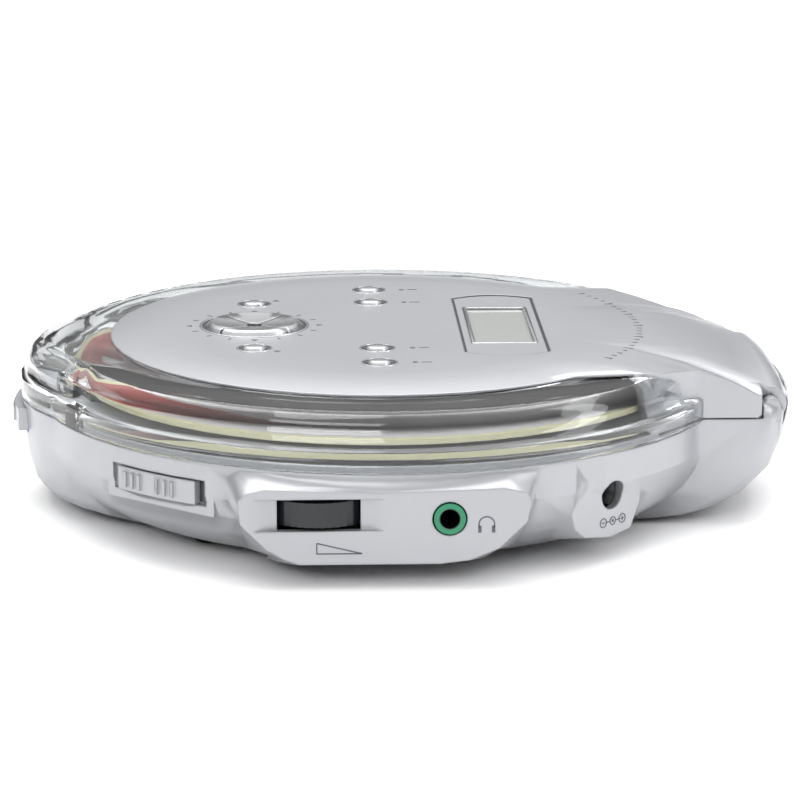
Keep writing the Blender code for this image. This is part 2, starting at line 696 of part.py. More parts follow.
def build_housing():
    z_mid = SEAM_HEIGHT - SLIDER_DROP
    body = solid("bottom_housing", loft(hull_rings(spine=True)))
    join(body, solid("bowl", turned(bowl_profile(0.0, 0.0, SEAM_HEIGHT + SPINE_RISE))))
    join(body, solid("pod", pod(POD_SHARES, POD_LEFT, POD_RIGHT, SEAM_HEIGHT - POD_TOP_DROP,
                                SEAM_HEIGHT - POD_BOTTOM_DROP, POD_REACH, POD_ROOT, POD_FLARE)))
    join(body, solid("inlet", turned_frame(
        pod(INLET_SHARES, INLET_LEFT, INLET_RIGHT, SEAM_HEIGHT - INLET_TOP_DROP,
            SEAM_HEIGHT - INLET_BOTTOM_DROP, INLET_REACH, INLET_ROOT, INLET_FLARE), INLET_ANGLE)))
    # hollow: the bowl, the hull and both pods inside their walls
    cut(body, solid("hull_in", loft(hull_rings(WALL, WALL, hollow=True))))
    cut(body, solid("bowl_in", turned(bowl_profile(WALL, WALL, SEAM_HEIGHT + SPINE_RISE * 2))))
    cut(body, solid("pod_in", pod(POD_SHARES, POD_LEFT, POD_RIGHT, SEAM_HEIGHT - POD_TOP_DROP,
                                  SEAM_HEIGHT - POD_BOTTOM_DROP, POD_REACH, POD_ROOT, POD_FLARE,
                                  WALL)))
    cut(body, solid("inlet_in", turned_frame(
        pod(INLET_SHARES, INLET_LEFT, INLET_RIGHT, SEAM_HEIGHT - INLET_TOP_DROP,
            SEAM_HEIGHT - INLET_BOTTOM_DROP, INLET_REACH, INLET_ROOT, INLET_FLARE, WALL),
        INLET_ANGLE)))
    # everything above the seam goes, ahead of the hinge line
    reach = REAR_REACH
    cut(body, solid("above", box(-reach, HINGE_X - KNUCKLE_RADIUS, -reach, reach, SEAM_HEIGHT,
                                 SEAM_HEIGHT + SPINE_RISE + OVERRUN)))
    cut(body, solid("trough", rod_y(TROUGH_RADIUS, -CHEEK_INNER, CHEEK_INNER, HINGE_X,
                                    HINGE_HEIGHT, 24)))
    cut(body, solid("trough_top", box(HINGE_X - TROUGH_RADIUS, HINGE_X, -CHEEK_INNER, CHEEK_INNER,
                                      HINGE_HEIGHT, SEAM_HEIGHT + SPINE_RISE + OVERRUN)))
    for side in (-1, 1):
        inner = side * CHEEK_INNER
        outer = side * (CHEEK_INNER + CHEEK_WIDTH)
        ends = (min(inner, outer), max(inner, outer))
        join(body, solid("knuckle", side_prism(
            [(HINGE_X - KNUCKLE_RADIUS, SEAM_HEIGHT - OVERRUN)]
            + [(HINGE_X + KNUCKLE_RADIUS, SEAM_HEIGHT - OVERRUN)]
            + [(HINGE_X + KNUCKLE_RADIUS * math.cos(math.pi * i / 10),
                HINGE_HEIGHT + KNUCKLE_RADIUS * math.sin(math.pi * i / 10)) for i in range(11)],
            *ends)))
        bore = HINGE_PIN_RADIUS + SEAT_GAP
        bore_end = side * (CHEEK_INNER + CHEEK_WIDTH - WALL / 3)
        cut(body, solid("pin_bore", rod_y(bore, min(inner - side * OVERRUN, bore_end),
                                          max(inner - side * OVERRUN, bore_end), HINGE_X,
                                          HINGE_HEIGHT, TINY_SEGMENTS)))
    # control windows
    wheel_z = SEAM_HEIGHT - WHEEL_DROP
    cut(body, solid("wheel_window", box(WHEEL_X - WINDOW_WIDTH / 2, WHEEL_X + WINDOW_WIDTH / 2,
                                        -POD_REACH - OVERRUN, -POD_REACH + WALL + OVERRUN,
                                        wheel_z - WINDOW_HEIGHT / 2, wheel_z + WINDOW_HEIGHT / 2)))
    for side in (-1, 1):
        cx = WHEEL_X + side * WINDOW_WIDTH / 2
        cy = -(POD_REACH + SCOOP_RADIUS - SCOOP_DEPTH)
        cut(body, solid("scoop", turned([(0.0, wheel_z - WINDOW_HEIGHT / 2),
                                         (SCOOP_RADIUS, wheel_z - WINDOW_HEIGHT / 2),
                                         (SCOOP_RADIUS, wheel_z + WINDOW_HEIGHT / 2),
                                         (0.0, wheel_z + WINDOW_HEIGHT / 2)], 20, cx, cy)))
    cut(body, solid("jack_hole", rod_y(JACK_NOSE_RADIUS + SEAT_GAP, -POD_REACH - OVERRUN,
                                       -POD_REACH + WALL + OVERRUN, JACK_X,
                                       SEAM_HEIGHT - JACK_DROP)))
    cut(body, solid("inlet_hole", turned_frame(
        rod_y(INLET_HOLE_RADIUS, -INLET_REACH - OVERRUN, -INLET_REACH + WALL + OVERRUN,
              INLET_HOLE_SHIFT, SEAM_HEIGHT - INLET_HOLE_DROP), INLET_ANGLE)))
    # mode slider: a thick patch of wall, a sunk flat floor and a slot for the lever
    floor = slider_floor()
    half = SLIDER_WINDOW_LENGTH / 2
    join(body, solid("patch", turned_frame(
        box(-half - WALL, half + WALL, -floor - WALL / 2, -floor + WALL,
            z_mid - SLIDER_WINDOW_HEIGHT / 2 - WALL, DECK_BASE - SEAT_GAP),
        SLIDER_ANGLE)))
    cut(body, solid("recess", turned_frame(
        box(-half, half, -BODY_RADIUS - OVERRUN, -floor, z_mid - SLIDER_WINDOW_HEIGHT / 2,
            z_mid + SLIDER_WINDOW_HEIGHT / 2), SLIDER_ANGLE)))
    slot = (SLIDER_WINDOW_LENGTH - SLIDER_LENGTH) / 2 + LEVER_LENGTH / 2
    cut(body, solid("lever_slot", turned_frame(
        box(-slot, slot, -floor - OVERRUN, -floor + WALL + OVERRUN,
            z_mid - LEVER_WIDTH / 2 - RUN_GAP, z_mid + LEVER_WIDTH / 2 + RUN_GAP), SLIDER_ANGLE)))
    # latch button window in the tab
    button_z = SEAM_HEIGHT - BUTTON_DROP
    side = BUTTON_HALF_WIDTH + SEAT_GAP
    cut(body, solid("button_window", box(
        -FRONT_REACH - OVERRUN, -FRONT_REACH + FRONT_ARC_RADIUS / 8, -side, side,
        button_z - BUTTON_HEIGHT / 2 - SEAT_GAP, button_z + BUTTON_HEIGHT / 2 + SEAT_GAP)))
    # screw bosses, damper posts and the lid switch's stand
    for sx in (-1, 1):
        for sy in (-1, 1):
            x, y = sx * SCREW_SPOT_X, sy * SCREW_SPOT_Y
            join(body, solid("boss", rod_z(CASE_BOSS_RADIUS, CASE_SCREW_BASE - WALL / 2,
                                           DECK_BASE - SEAT_GAP, x, y, TINY_SEGMENTS)))
            cut(body, solid("head_well", rod_z(CASE_SCREW_HEAD_RADIUS + SEAT_GAP, HULL_LIFT,
                                               CASE_SCREW_BASE + CASE_SCREW_HEAD, x, y,
                                               TINY_SEGMENTS)))
            cut(body, solid("boss_bore", rod_z(CASE_SCREW_RADIUS + SEAT_GAP, CASE_SCREW_BASE,
                                               SEAM_HEIGHT, x, y, TINY_SEGMENTS)))
    for x, y in damper_spots():
        join(body, solid("post", rod_z(DAMPER_RADIUS, BOWL_LIFT + WALL / 2,
                                       CHASSIS_BASE - DAMPER_HEIGHT - SEAT_GAP, x, y,
                                       TINY_SEGMENTS)))
    for side in (-1, 1):
        join(body, solid("board_post", rod_z(BOARD_POST_RADIUS, BOWL_LIFT + WALL / 2,
                                             BOARD_TOP - BOARD_THICKNESS - SEAT_GAP,
                                             side * BOARD_POST_X, BOARD_POST_Y, TINY_SEGMENTS)))
    join(body, solid("switch_stand", box(
        PIN_X - PIN_SWITCH_SIZE / 2, PIN_X + PIN_SWITCH_SIZE / 2, PIN_Y - PIN_SWITCH_SIZE / 2,
        PIN_Y + PIN_SWITCH_SIZE / 2, SEAM_HEIGHT - PIN_STAND_DROP,
        switch_base() - SEAT_GAP)))
    # battery bay: a low wall round the cells, a door opening below them
    low = HULL_LIFT + WALL / 2
    rim = solid("bay_rim", box(BAY_FRONT - BAY_WALL, BAY_BACK + BAY_WALL,
                               -BAY_HALF_LENGTH - BAY_WALL, BAY_HALF_LENGTH + BAY_WALL, low,
                               HULL_LIFT + BAY_HEIGHT))
    cut(rim, solid("bay_in", box(BAY_FRONT, BAY_BACK, -BAY_HALF_LENGTH, BAY_HALF_LENGTH,
                                 low - OVERRUN, SEAM_HEIGHT)))
    join(body, rim)
    cut(body, solid("door_way", box(BAY_FRONT, BAY_BACK, -BAY_HALF_LENGTH, BAY_HALF_LENGTH, 0,
                                    HULL_LIFT + BAY_HEIGHT / 2)))
    # pockets for the feet
    for x, y in foot_spots():
        cut(body, solid("foot_pocket", rod_z(FOOT_RADIUS + SEAT_GAP, 0, FOOT_HEIGHT + SEAT_GAP,
                                             x, y)))
    return finish(body, SILVER, ROOT)


def damper_spots():
    return [(DAMPER_BACK_X, DAMPER_BACK_Y), (DAMPER_BACK_X, -DAMPER_BACK_Y),
            (DAMPER_FRONT_X, DAMPER_FRONT_Y)]


def foot_spots():
    return [(FOOT_X, FOOT_Y), (FOOT_X, -FOOT_Y), (FOOT_FRONT_X, FOOT_Y), (FOOT_FRONT_X, -FOOT_Y)]


def switch_base():
    return SEAM_HEIGHT - PIN_BOTTOM_DROP - PIN_TRAVEL - SEAT_GAP - PIN_SWITCH_HEIGHT


# The lid's top surface
def lobe_half_width(x):
    """The silver lobe's half width at a place along X, from its shoulder to the hinge."""
    start_x = PLATE_RADIUS * math.cos(LOBE_START_ANGLE)
    start_y = PLATE_RADIUS * math.sin(LOBE_START_ANGLE)
    wing_x = math.sqrt(BODY_RADIUS ** 2 - HULL_HALF_WIDTH ** 2)
    if x <= LOBE_SHOULDER_X:
        share = (x - start_x) / (LOBE_SHOULDER_X - start_x)
        return start_y + (LOBE_SHOULDER_HALF_WIDTH - start_y) * share
    if x >= wing_x:
        return HULL_HALF_WIDTH
    share = (x - LOBE_SHOULDER_X) / (wing_x - LOBE_SHOULDER_X)
    ease = share * share * (3 - 2 * share)
    return LOBE_SHOULDER_HALF_WIDTH + (HULL_HALF_WIDTH - LOBE_SHOULDER_HALF_WIDTH) * ease


def nose_radius(y):
    """The hinge nose is a barrel: full in the middle and slimmer at its ends."""
    share = min(abs(y) / NOSE_HALF_LENGTH, 1.2)
    return NOSE_RADIUS - (NOSE_RADIUS - NOSE_END_RADIUS) * share ** 2.5


def edge_rise(x, y):
    """Height over the seam of the silver plate's outer edge."""
    radius = math.hypot(x, y)
    plate_edge = CREST_RISE + SEAT_GAP + PLATE_EDGE
    if x >= HINGE_X - SEAT_GAP:
        return HINGE_RISE + nose_radius(y) - SEAT_GAP / 3
    if radius <= CREST_RADIUS:
        return plate_edge
    wing_x = math.sqrt(BODY_RADIUS ** 2 - HULL_HALF_WIDTH ** 2)
    if x < wing_x:
        share = (radius - CREST_RADIUS) / (BODY_RADIUS - CREST_RADIUS)
        return plate_edge + (LOBE_WING_EDGE_RISE - plate_edge) * share
    share = (x - wing_x) / (HINGE_X - wing_x)
    return LOBE_WING_EDGE_RISE + (LOBE_TAIL_EDGE_RISE - LOBE_WING_EDGE_RISE) * share ** 1.5


def plate_outline():
    """The silver plate in plan, as points that see the spindle: a disc with a rear lobe."""
    points = []
    front = 40
    for i in range(front + 1):
        angle = LOBE_START_ANGLE + (2 * math.pi - 2 * LOBE_START_ANGLE) * i / front
        points.append((PLATE_RADIUS * math.cos(angle), PLATE_RADIUS * math.sin(angle)))
    start_x = PLATE_RADIUS * math.cos(LOBE_START_ANGLE)
    side = []
    steps = 14
    for i in range(1, steps):
        x = start_x + (HINGE_X - start_x) * i / steps
        side.append((x, lobe_half_width(x)))
    rear_steps = 8
    rear = [(HINGE_X, HULL_HALF_WIDTH * (1 - 2 * i / rear_steps)) for i in range(rear_steps + 1)]
    points += [(x, -y) for x, y in side]
    points += [(x, y) for x, y in reversed(rear)]
    points += [(x, y) for x, y in reversed(side)]
    return points


def surface_rise(x, y, edge_x, edge_y):
    """Height of the silver top over the seam: flat in the middle, falling to its edge."""
    radius = math.hypot(x, y)
    reach = math.hypot(edge_x, edge_y)
    if radius <= PLATE_FLAT_RADIUS:
        return PLATE_RISE
    share = (radius - PLATE_FLAT_RADIUS) / (reach - PLATE_FLAT_RADIUS)
    drop = PLATE_RISE - edge_rise(edge_x, edge_y)
    return PLATE_RISE - drop * min(share, 1.0) ** 2.2


def has_skirt(x, y):
    return math.hypot(x, y) > CREST_RADIUS - SEAT_GAP and x < HINGE_X - SEAT_GAP


def build_plate():
    outline = plate_outline()
    ring_shares = (0.34, 0.62, 0.84)
    bm = bmesh.new()
    top_rows, low_rows = [], []
    for x, y in outline:
        reach = math.hypot(x, y)
        radii = [PLATE_FLAT_RADIUS]
        radii += [PLATE_FLAT_RADIUS + (reach - PLATE_FLAT_RADIUS) * s for s in ring_shares]
        top, low = [], []
        for radius in radii + [reach]:
            px, py = x * radius / reach, y * radius / reach
            z = SEAM_HEIGHT + surface_rise(px, py, x, y)
            top.append(bm.verts.new((px, py, z)))
        rim = reach - SKIRT_THICKNESS
        for radius in radii[:-1] + [rim]:
            px, py = x * radius / reach, y * radius / reach
            rise = surface_rise(px, py, x, y)
            low.append(bm.verts.new((px, py, SEAM_HEIGHT + under_rise(px, py, rise))))
        edge = SEAM_HEIGHT + (SEAT_GAP if has_skirt(x, y) else CREST_RISE + SEAT_GAP)
        if x >= HINGE_X - SEAT_GAP:
            edge = SEAM_HEIGHT + edge_rise(x, y) - LOBE_THICKNESS
            low[-1].co.z = edge + STACK_GAP / 2
        px, py = x * rim / reach, y * rim / reach
        low.append(bm.verts.new((px, py, min(edge, low[-1].co.z - STACK_GAP / 2))))
        low.append(bm.verts.new((x, y, low[-1].co.z)))
        top_rows.append(top)
        low_rows.append(low)
    count = len(outline)
    bm.faces.new([row[0] for row in top_rows])
    bm.faces.new([row[0] for row in low_rows][::-1])
    for i in range(count):
        j = (i + 1) % count
        a, b, c, d = top_rows[i], top_rows[j], low_rows[i], low_rows[j]
        for k in range(len(a) - 1):
            bm.faces.new((a[k], a[k + 1], b[k + 1], b[k]))
        for k in range(len(c) - 1):
            bm.faces.new((c[k], d[k], d[k + 1], c[k + 1]))
        bm.faces.new((a[-1], c[-1], d[-1], b[-1]))
    plate = solid("lid_top_plate", bm)
    # screw bosses over the inner cover
    for x, y in lid_screw_spots():
        join(plate, solid("lid_boss", rod_z(LID_BOSS_RADIUS, COVER_TOP + STACK_GAP,
                                            CLEAR_TOP + SEAT_GAP + PLATE_EDGE / 2, x, y,
                                            TINY_SEGMENTS)))
        cut(plate, solid("lid_bore", rod_z(LID_SCREW_RADIUS + SEAT_GAP, COVER_TOP - OVERRUN,
                                           PLATE_TOP - LOBE_THICKNESS - SEAT_GAP, x, y,
                                           TINY_SEGMENTS)))
    # the hinge nose: a barrel along Y with a pin bore in each end
    rings = []
    steps = 6
    for i in range(steps + 1):
        y = -NOSE_HALF_LENGTH + 2 * NOSE_HALF_LENGTH * i / steps
        ring = circle(nose_radius(y), SMALL_SEGMENTS, HINGE_X, HINGE_HEIGHT)
        rings.append([(x, y, z) for x, z in ring])
    join(plate, solid("nose", loft(rings)))
    clear = KNUCKLE_RADIUS + RUN_GAP
    for side in (-1, 1):
        inner = side * (CHEEK_INNER - RUN_GAP / 2)
        outer = side * (HULL_HALF_WIDTH + OVERRUN)
        ends = (min(inner, outer), max(inner, outer))
        cut(plate, solid("cheek_way", box(HINGE_X - clear, HINGE_X + NOSE_RADIUS + OVERRUN, *ends,
                                          SEAM_HEIGHT - OVERRUN, PLATE_TOP)))
        bore = HINGE_PIN_RADIUS + SEAT_GAP
        start = side * (NOSE_HALF_LENGTH - HINGE_PIN_LENGTH / 2 - SEAT_GAP)
        stop = side * (NOSE_HALF_LENGTH + OVERRUN)
        cut(plate, solid("nose_bore", rod_y(bore, min(start, stop), max(start, stop), HINGE_X,
                                            HINGE_HEIGHT, TINY_SEGMENTS)))
    # key holes and the display opening
    for x, y in key_spots():
        cut(plate, solid("key_hole", rod_z(KEY_RADIUS + SEAT_GAP, PLATE_TOP - LOBE_THICKNESS * 2,
                                           PLATE_TOP + OVERRUN, x, y, 16)))
    cut(plate, solid("pad_hole", prism(circle(PAD_RADIUS + SEAT_GAP, 36, PAD_X, 0.0, 0.5),
                                       PLATE_TOP - LOBE_THICKNESS * 2, PLATE_TOP + OVERRUN)))
    cut(plate, solid("bezel_hole", prism(bezel_outline(SEAT_GAP),
                                         PLATE_TOP - LOBE_THICKNESS * 2, PLATE_TOP + OVERRUN)))
    return finish(plate, SILVER, LID)


def under_rise(x, y, rise):
    """The underside of the silver top: level over the clear ring, a shell over the lobe."""
    radius = math.hypot(x, y)
    if radius <= PLATE_FLAT_RADIUS + STACK_GAP:
        return PLATE_RISE - PLATE_THICKNESS
    seat = CREST_RISE + SEAT_GAP
    share = min(max((x - LOBE_SHOULDER_X) / (CREST_RADIUS - LOBE_SHOULDER_X), 0.0), 1.0)
    shell = rise - LOBE_THICKNESS
    if x < LOBE_SHOULDER_X:
        return min(seat, rise - PLATE_EDGE)
    return seat + (shell - seat) * share if rise - PLATE_EDGE > seat else shell


def key_spots():
    return [(PAD_X, PAD_KEY_OFFSET), (PAD_X, -PAD_KEY_OFFSET), (MID_KEY_X, MID_KEY_OUTER),
            (MID_KEY_X, MID_KEY_INNER), (MID_KEY_X, -MID_KEY_INNER), (MID_KEY_X, -MID_KEY_OUTER)]


def lid_screw_spots():
    spots = []
    for i in range(LID_SCREW_COUNT):
        turn = math.pi + 2 * math.pi * i / LID_SCREW_COUNT
        spots.append((LID_SCREW_CIRCLE * math.cos(turn), LID_SCREW_CIRCLE * math.sin(turn)))
    return spots


def bezel_outline(grow):
    """The display window in plan: straight long sides and gently arced ends."""
    half = BEZEL_WIDTH / 2 + grow
    straight = BEZEL_HALF_LENGTH - BEZEL_ARC
    points = []
    steps = 6
    for side in (1, -1):
        for i in range(steps + 1):
            share = 1 - 2 * i / steps
            bulge = BEZEL_ARC * (1 - share * share)
            points.append((BEZEL_X + side * half * share, side * (straight + bulge + grow)))
    return points[::-1]


# Clear cover
def clear_profile():
    """The clear ring's outline, radius and height: flange, step, wall, shoulder, top, lip."""
    z = SEAM_HEIGHT
    t = CLEAR_THICKNESS
    span = SHOULDER_RADIUS - CREST_RADIUS
    rise = CREST_RISE - FLANGE_HEIGHT
    outer = [(BODY_RADIUS, z + SEAT_GAP), (BODY_RADIUS, z + FLANGE_HEIGHT - TAB_STEP / 4),
             (BODY_RADIUS - TAB_STEP / 4, z + FLANGE_HEIGHT),
             (SHOULDER_RADIUS, z + FLANGE_HEIGHT + TAB_STEP / 4)]
    curve = []
    for i in range(1, 5):
        turn = math.pi / 2 * i / 4
        curve.append((CREST_RADIUS + span * math.cos(turn),
                      z + FLANGE_HEIGHT + rise * (0.35 + 0.65 * math.sin(turn))))
    inner = [(CLEAR_STEP_RADIUS, CLEAR_TOP - t), (CREST_RADIUS - t / 3, CLEAR_TOP - t)]
    inner += [(SHOULDER_RADIUS - t, z + FLANGE_HEIGHT + rise / 3),
              (SHOULDER_RADIUS - t, z + FLANGE_HEIGHT - t / 2),
              (BODY_RADIUS - t, z + FLANGE_HEIGHT - t), (BODY_RADIUS - t, z + SEAT_GAP)]
    lip = [(CLEAR_LIP_RADIUS, CLEAR_TOP),
           (CLEAR_LIP_RADIUS, CLEAR_TOP - CLEAR_LIP_THICKNESS),
           (CLEAR_STEP_RADIUS, CLEAR_TOP - CLEAR_LIP_THICKNESS)]
    return outer + curve + lip + inner


def tab_rings(inset, top_drop):
    """The front tab's clear cap, drawn in at its step and rounded over at the top."""
    z = SEAM_HEIGHT
    top = CREST_RISE - top_drop
    levels = [(SEAT_GAP, 0.0), (FLANGE_HEIGHT - TAB_STEP / 4, 0.0), (FLANGE_HEIGHT, TAB_STEP / 4),
              (FLANGE_HEIGHT + TAB_STEP / 4, TAB_STEP)]
    start = FLANGE_HEIGHT + (CREST_RISE - FLANGE_HEIGHT) / 3
    for i in range(5):
        turn = math.pi / 2 * i / 4
        levels.append((start + (top - start) * math.sin(turn),
                       TAB_STEP + TAB_ROUND * (1 - math.cos(turn))))
    rings = []
    half = HULL_HALF_WIDTH * 1.2 - inset
    centre = FRONT_ARC_RADIUS - FRONT_REACH
    for rise, draw in levels:
        ring = []
        for i in range(15):
            y = half * math.cos(math.pi * i / 14)
            radius = FRONT_ARC_RADIUS - draw - inset
            y = max(min(y, radius * 0.98), -radius * 0.98)
            ring.append((centre - math.sqrt(radius ** 2 - y ** 2), y, z + rise))
        ring.append((centre, -half, z + rise))
        ring.append((centre, half, z + rise))
        rings.append(ring)
    if inset:
        rings[0] = [(x, y, z - OVERRUN) for x, y, _ in rings[0]]
    return rings


def build_clear_cover():
    cover = solid("lid_clear_cover", turned(clear_profile()))
    tab = solid("tab", loft(tab_rings(0.0, STACK_GAP)))
    reach = SHOULDER_RADIUS - CLEAR_THICKNESS / 2
    cut(tab, solid("tab_core", turned([(0.0, 0.0), (reach, 0.0), (reach, SEAM_HEIGHT
                                                                + FLANGE_HEIGHT),
                                       (CREST_RADIUS - OVERRUN, CLEAR_TOP + OVERRUN),
                                       (0.0, CLEAR_TOP + OVERRUN)])))
    join(cover, tab)
    inner = solid("tab_in", loft(tab_rings(CLEAR_THICKNESS, CLEAR_THICKNESS)))
    cut(cover, inner)
    # the silver lobe's place
    gap = SEAT_GAP * math.sqrt(2)
    start = LOBE_SHOULDER_X - OVERRUN * 4
    outline = [(x, y) for x, y in plate_outline() if x > start]
    outline += [(start, side * lobe_half_width(start)) for side in (-1, 1)]
    grown = []
    for x, y in outline:
        side = math.copysign(1.0, y) if abs(y) > HULL_HALF_WIDTH / 2 else 0.0
        grown.append((x + gap, y + side * gap))
    grown.sort(key=lambda p: math.atan2(p[1], p[0]))
    cut(cover, solid("lobe_way", prism(grown, SEAM_HEIGHT - OVERRUN, PLATE_TOP + OVERRUN)))
    return finish(cover, CLEAR, LID)


# The other lid pieces
def build_inner_cover():
    z = SEAM_HEIGHT + COVER_RISE
    cover = solid("lid_inner_cover", prism(circle(COVER_RADIUS, 48), z, COVER_TOP))
    for x, y in lid_screw_spots():
        cut(cover, solid("way", rod_z(LID_SCREW_RADIUS + SEAT_GAP, z - OVERRUN,
                                      COVER_TOP + OVERRUN, x, y, TINY_SEGMENTS)))
        cut(cover, solid("sink", rod_z(LID_SCREW_HEAD_RADIUS + SEAT_GAP, z - OVERRUN,
                                       z + LID_SCREW_HEAD, x, y, TINY_SEGMENTS)))
    return finish(cover, GREY, LID)


def build_lid_screws():
    low = SEAM_HEIGHT + COVER_RISE + STACK_GAP / 2
    neck = SEAM_HEIGHT + COVER_RISE + LID_SCREW_HEAD - STACK_GAP
    top = PLATE_TOP - LOBE_THICKNESS - SEAT_GAP * 2
    for i, (x, y) in enumerate(lid_screw_spots()):
        add("lid_screw_%d" % (i + 1),
            turned([(0.0, top), (LID_SCREW_RADIUS, top), (LID_SCREW_RADIUS, neck),
                    (LID_SCREW_HEAD_RADIUS, neck), (LID_SCREW_HEAD_RADIUS, low), (0.0, low)],
                   TINY_SEGMENTS, x, y), STEEL, LID)


def build_lid_board():
    board = solid("lid_board", prism(circle(LID_BOARD_RADIUS, 48), LID_BOARD_BASE,
                                     LID_BOARD_BASE + LID_BOARD_THICKNESS))
    return finish(board, BOARD, LID)


def build_key_mat():
    left = PAD_X - PAD_RADIUS - KEY_RADIUS
    right = MID_KEY_X + KEY_RADIUS * 2
    half = MID_KEY_OUTER + KEY_RADIUS * 2
    z0, z1 = MAT_BASE, MAT_BASE + MAT_THICKNESS
    corner = half / 3
    outline = [(left, -half + corner), (left + corner, -half), (right, -half), (right, half),
               (left + corner, half), (left, half - corner)]
    reach = LID_BOARD_RADIUS - SEAT_GAP
    outline = [(x * min(1.0, reach / math.hypot(x, y)), y * min(1.0, reach / math.hypot(x, y)))
               for x, y in outline]
    return add("key_mat", prism(outline, z0, z1), RUBBER, LID, smooth=False)


def build_display():
    top = PLATE_TOP - BEZEL_SINK
    bezel = solid("display_bezel", prism(bezel_outline(0.0), top - BEZEL_THICKNESS, top))
    half_w, half_l = DISPLAY_WIDTH / 2 + SEAT_GAP, DISPLAY_LENGTH / 2 + SEAT_GAP
    cut(bezel, solid("pane_way", box(BEZEL_X - half_w, BEZEL_X + half_w, -half_l, half_l,
                                     top - BEZEL_THICKNESS - OVERRUN, top + OVERRUN)))
    finish(bezel, SILVER, LID)
    add("lcd_module", box(BEZEL_X - DISPLAY_WIDTH / 2, BEZEL_X + DISPLAY_WIDTH / 2,
                          -DISPLAY_LENGTH / 2, DISPLAY_LENGTH / 2,
                          LID_BOARD_BASE + LID_BOARD_THICKNESS + STACK_GAP,
                          PLATE_TOP - DISPLAY_SINK), GLASS, LID, smooth=False)


# Keys: each on its own empty in the middle of the key
def build_round_key(name, x, y):
    holder = empty(name + "_travel", (x, y, KEY_BASE), LID)
    flange = KEY_RADIUS + KEY_FLANGE
    top = PLATE_TOP + KEY_PROUD
    dome = KEY_PROUD / 2
    profile = [(0.0, top), (KEY_RADIUS * 0.6, top - dome * 0.2), (KEY_RADIUS, top - dome),
               (KEY_RADIUS, KEY_BASE + KEY_FLANGE_THICKNESS),
               (flange, KEY_BASE + KEY_FLANGE_THICKNESS), (flange, KEY_BASE), (0.0, KEY_BASE)]
    return add(name, turned(profile, 16, x, y), SILVER, holder)


def build_pad_key(name, direction):
    """One quarter of the dished pad, with a ledge under the plate."""
    mid = PAD_RADIUS * 0.55
    x, y = PAD_X + mid * math.cos(direction), mid * math.sin(direction)
    holder = empty(name + "_travel", (x, y, KEY_BASE), LID)
    steps = 8
    half = math.pi / 4
    core = PAD_RADIUS * 0.16
    sweep = [direction - half + 2 * half * i / steps for i in range(steps + 1)]

    def spot(radius, turn, z):
        shift = math.asin(min(PAD_GAP / 2 / radius, 0.9))
        share = (turn - direction) / half
        angle = direction + share * (half - shift)
        return (PAD_X + radius * math.cos(angle), radius * math.sin(angle), z)

    top = PLATE_TOP + PAD_PROUD
    ledge = KEY_BASE + KEY_FLANGE_THICKNESS
    rows = [(core, KEY_BASE), (core, top - PAD_DISH), (PAD_RADIUS * 0.60, top - PAD_DISH * 0.55),
            (PAD_RADIUS * 0.90, top), (PAD_RADIUS, top - PAD_PROUD * 0.6), (PAD_RADIUS, ledge),
            (PAD_RADIUS + KEY_FLANGE / 2, ledge), (PAD_RADIUS + KEY_FLANGE / 2, KEY_BASE)]
    rings = [[spot(radius, turn, z) for radius, z in rows] for turn in sweep]
    return add(name, loft(rings), SILVER, holder)


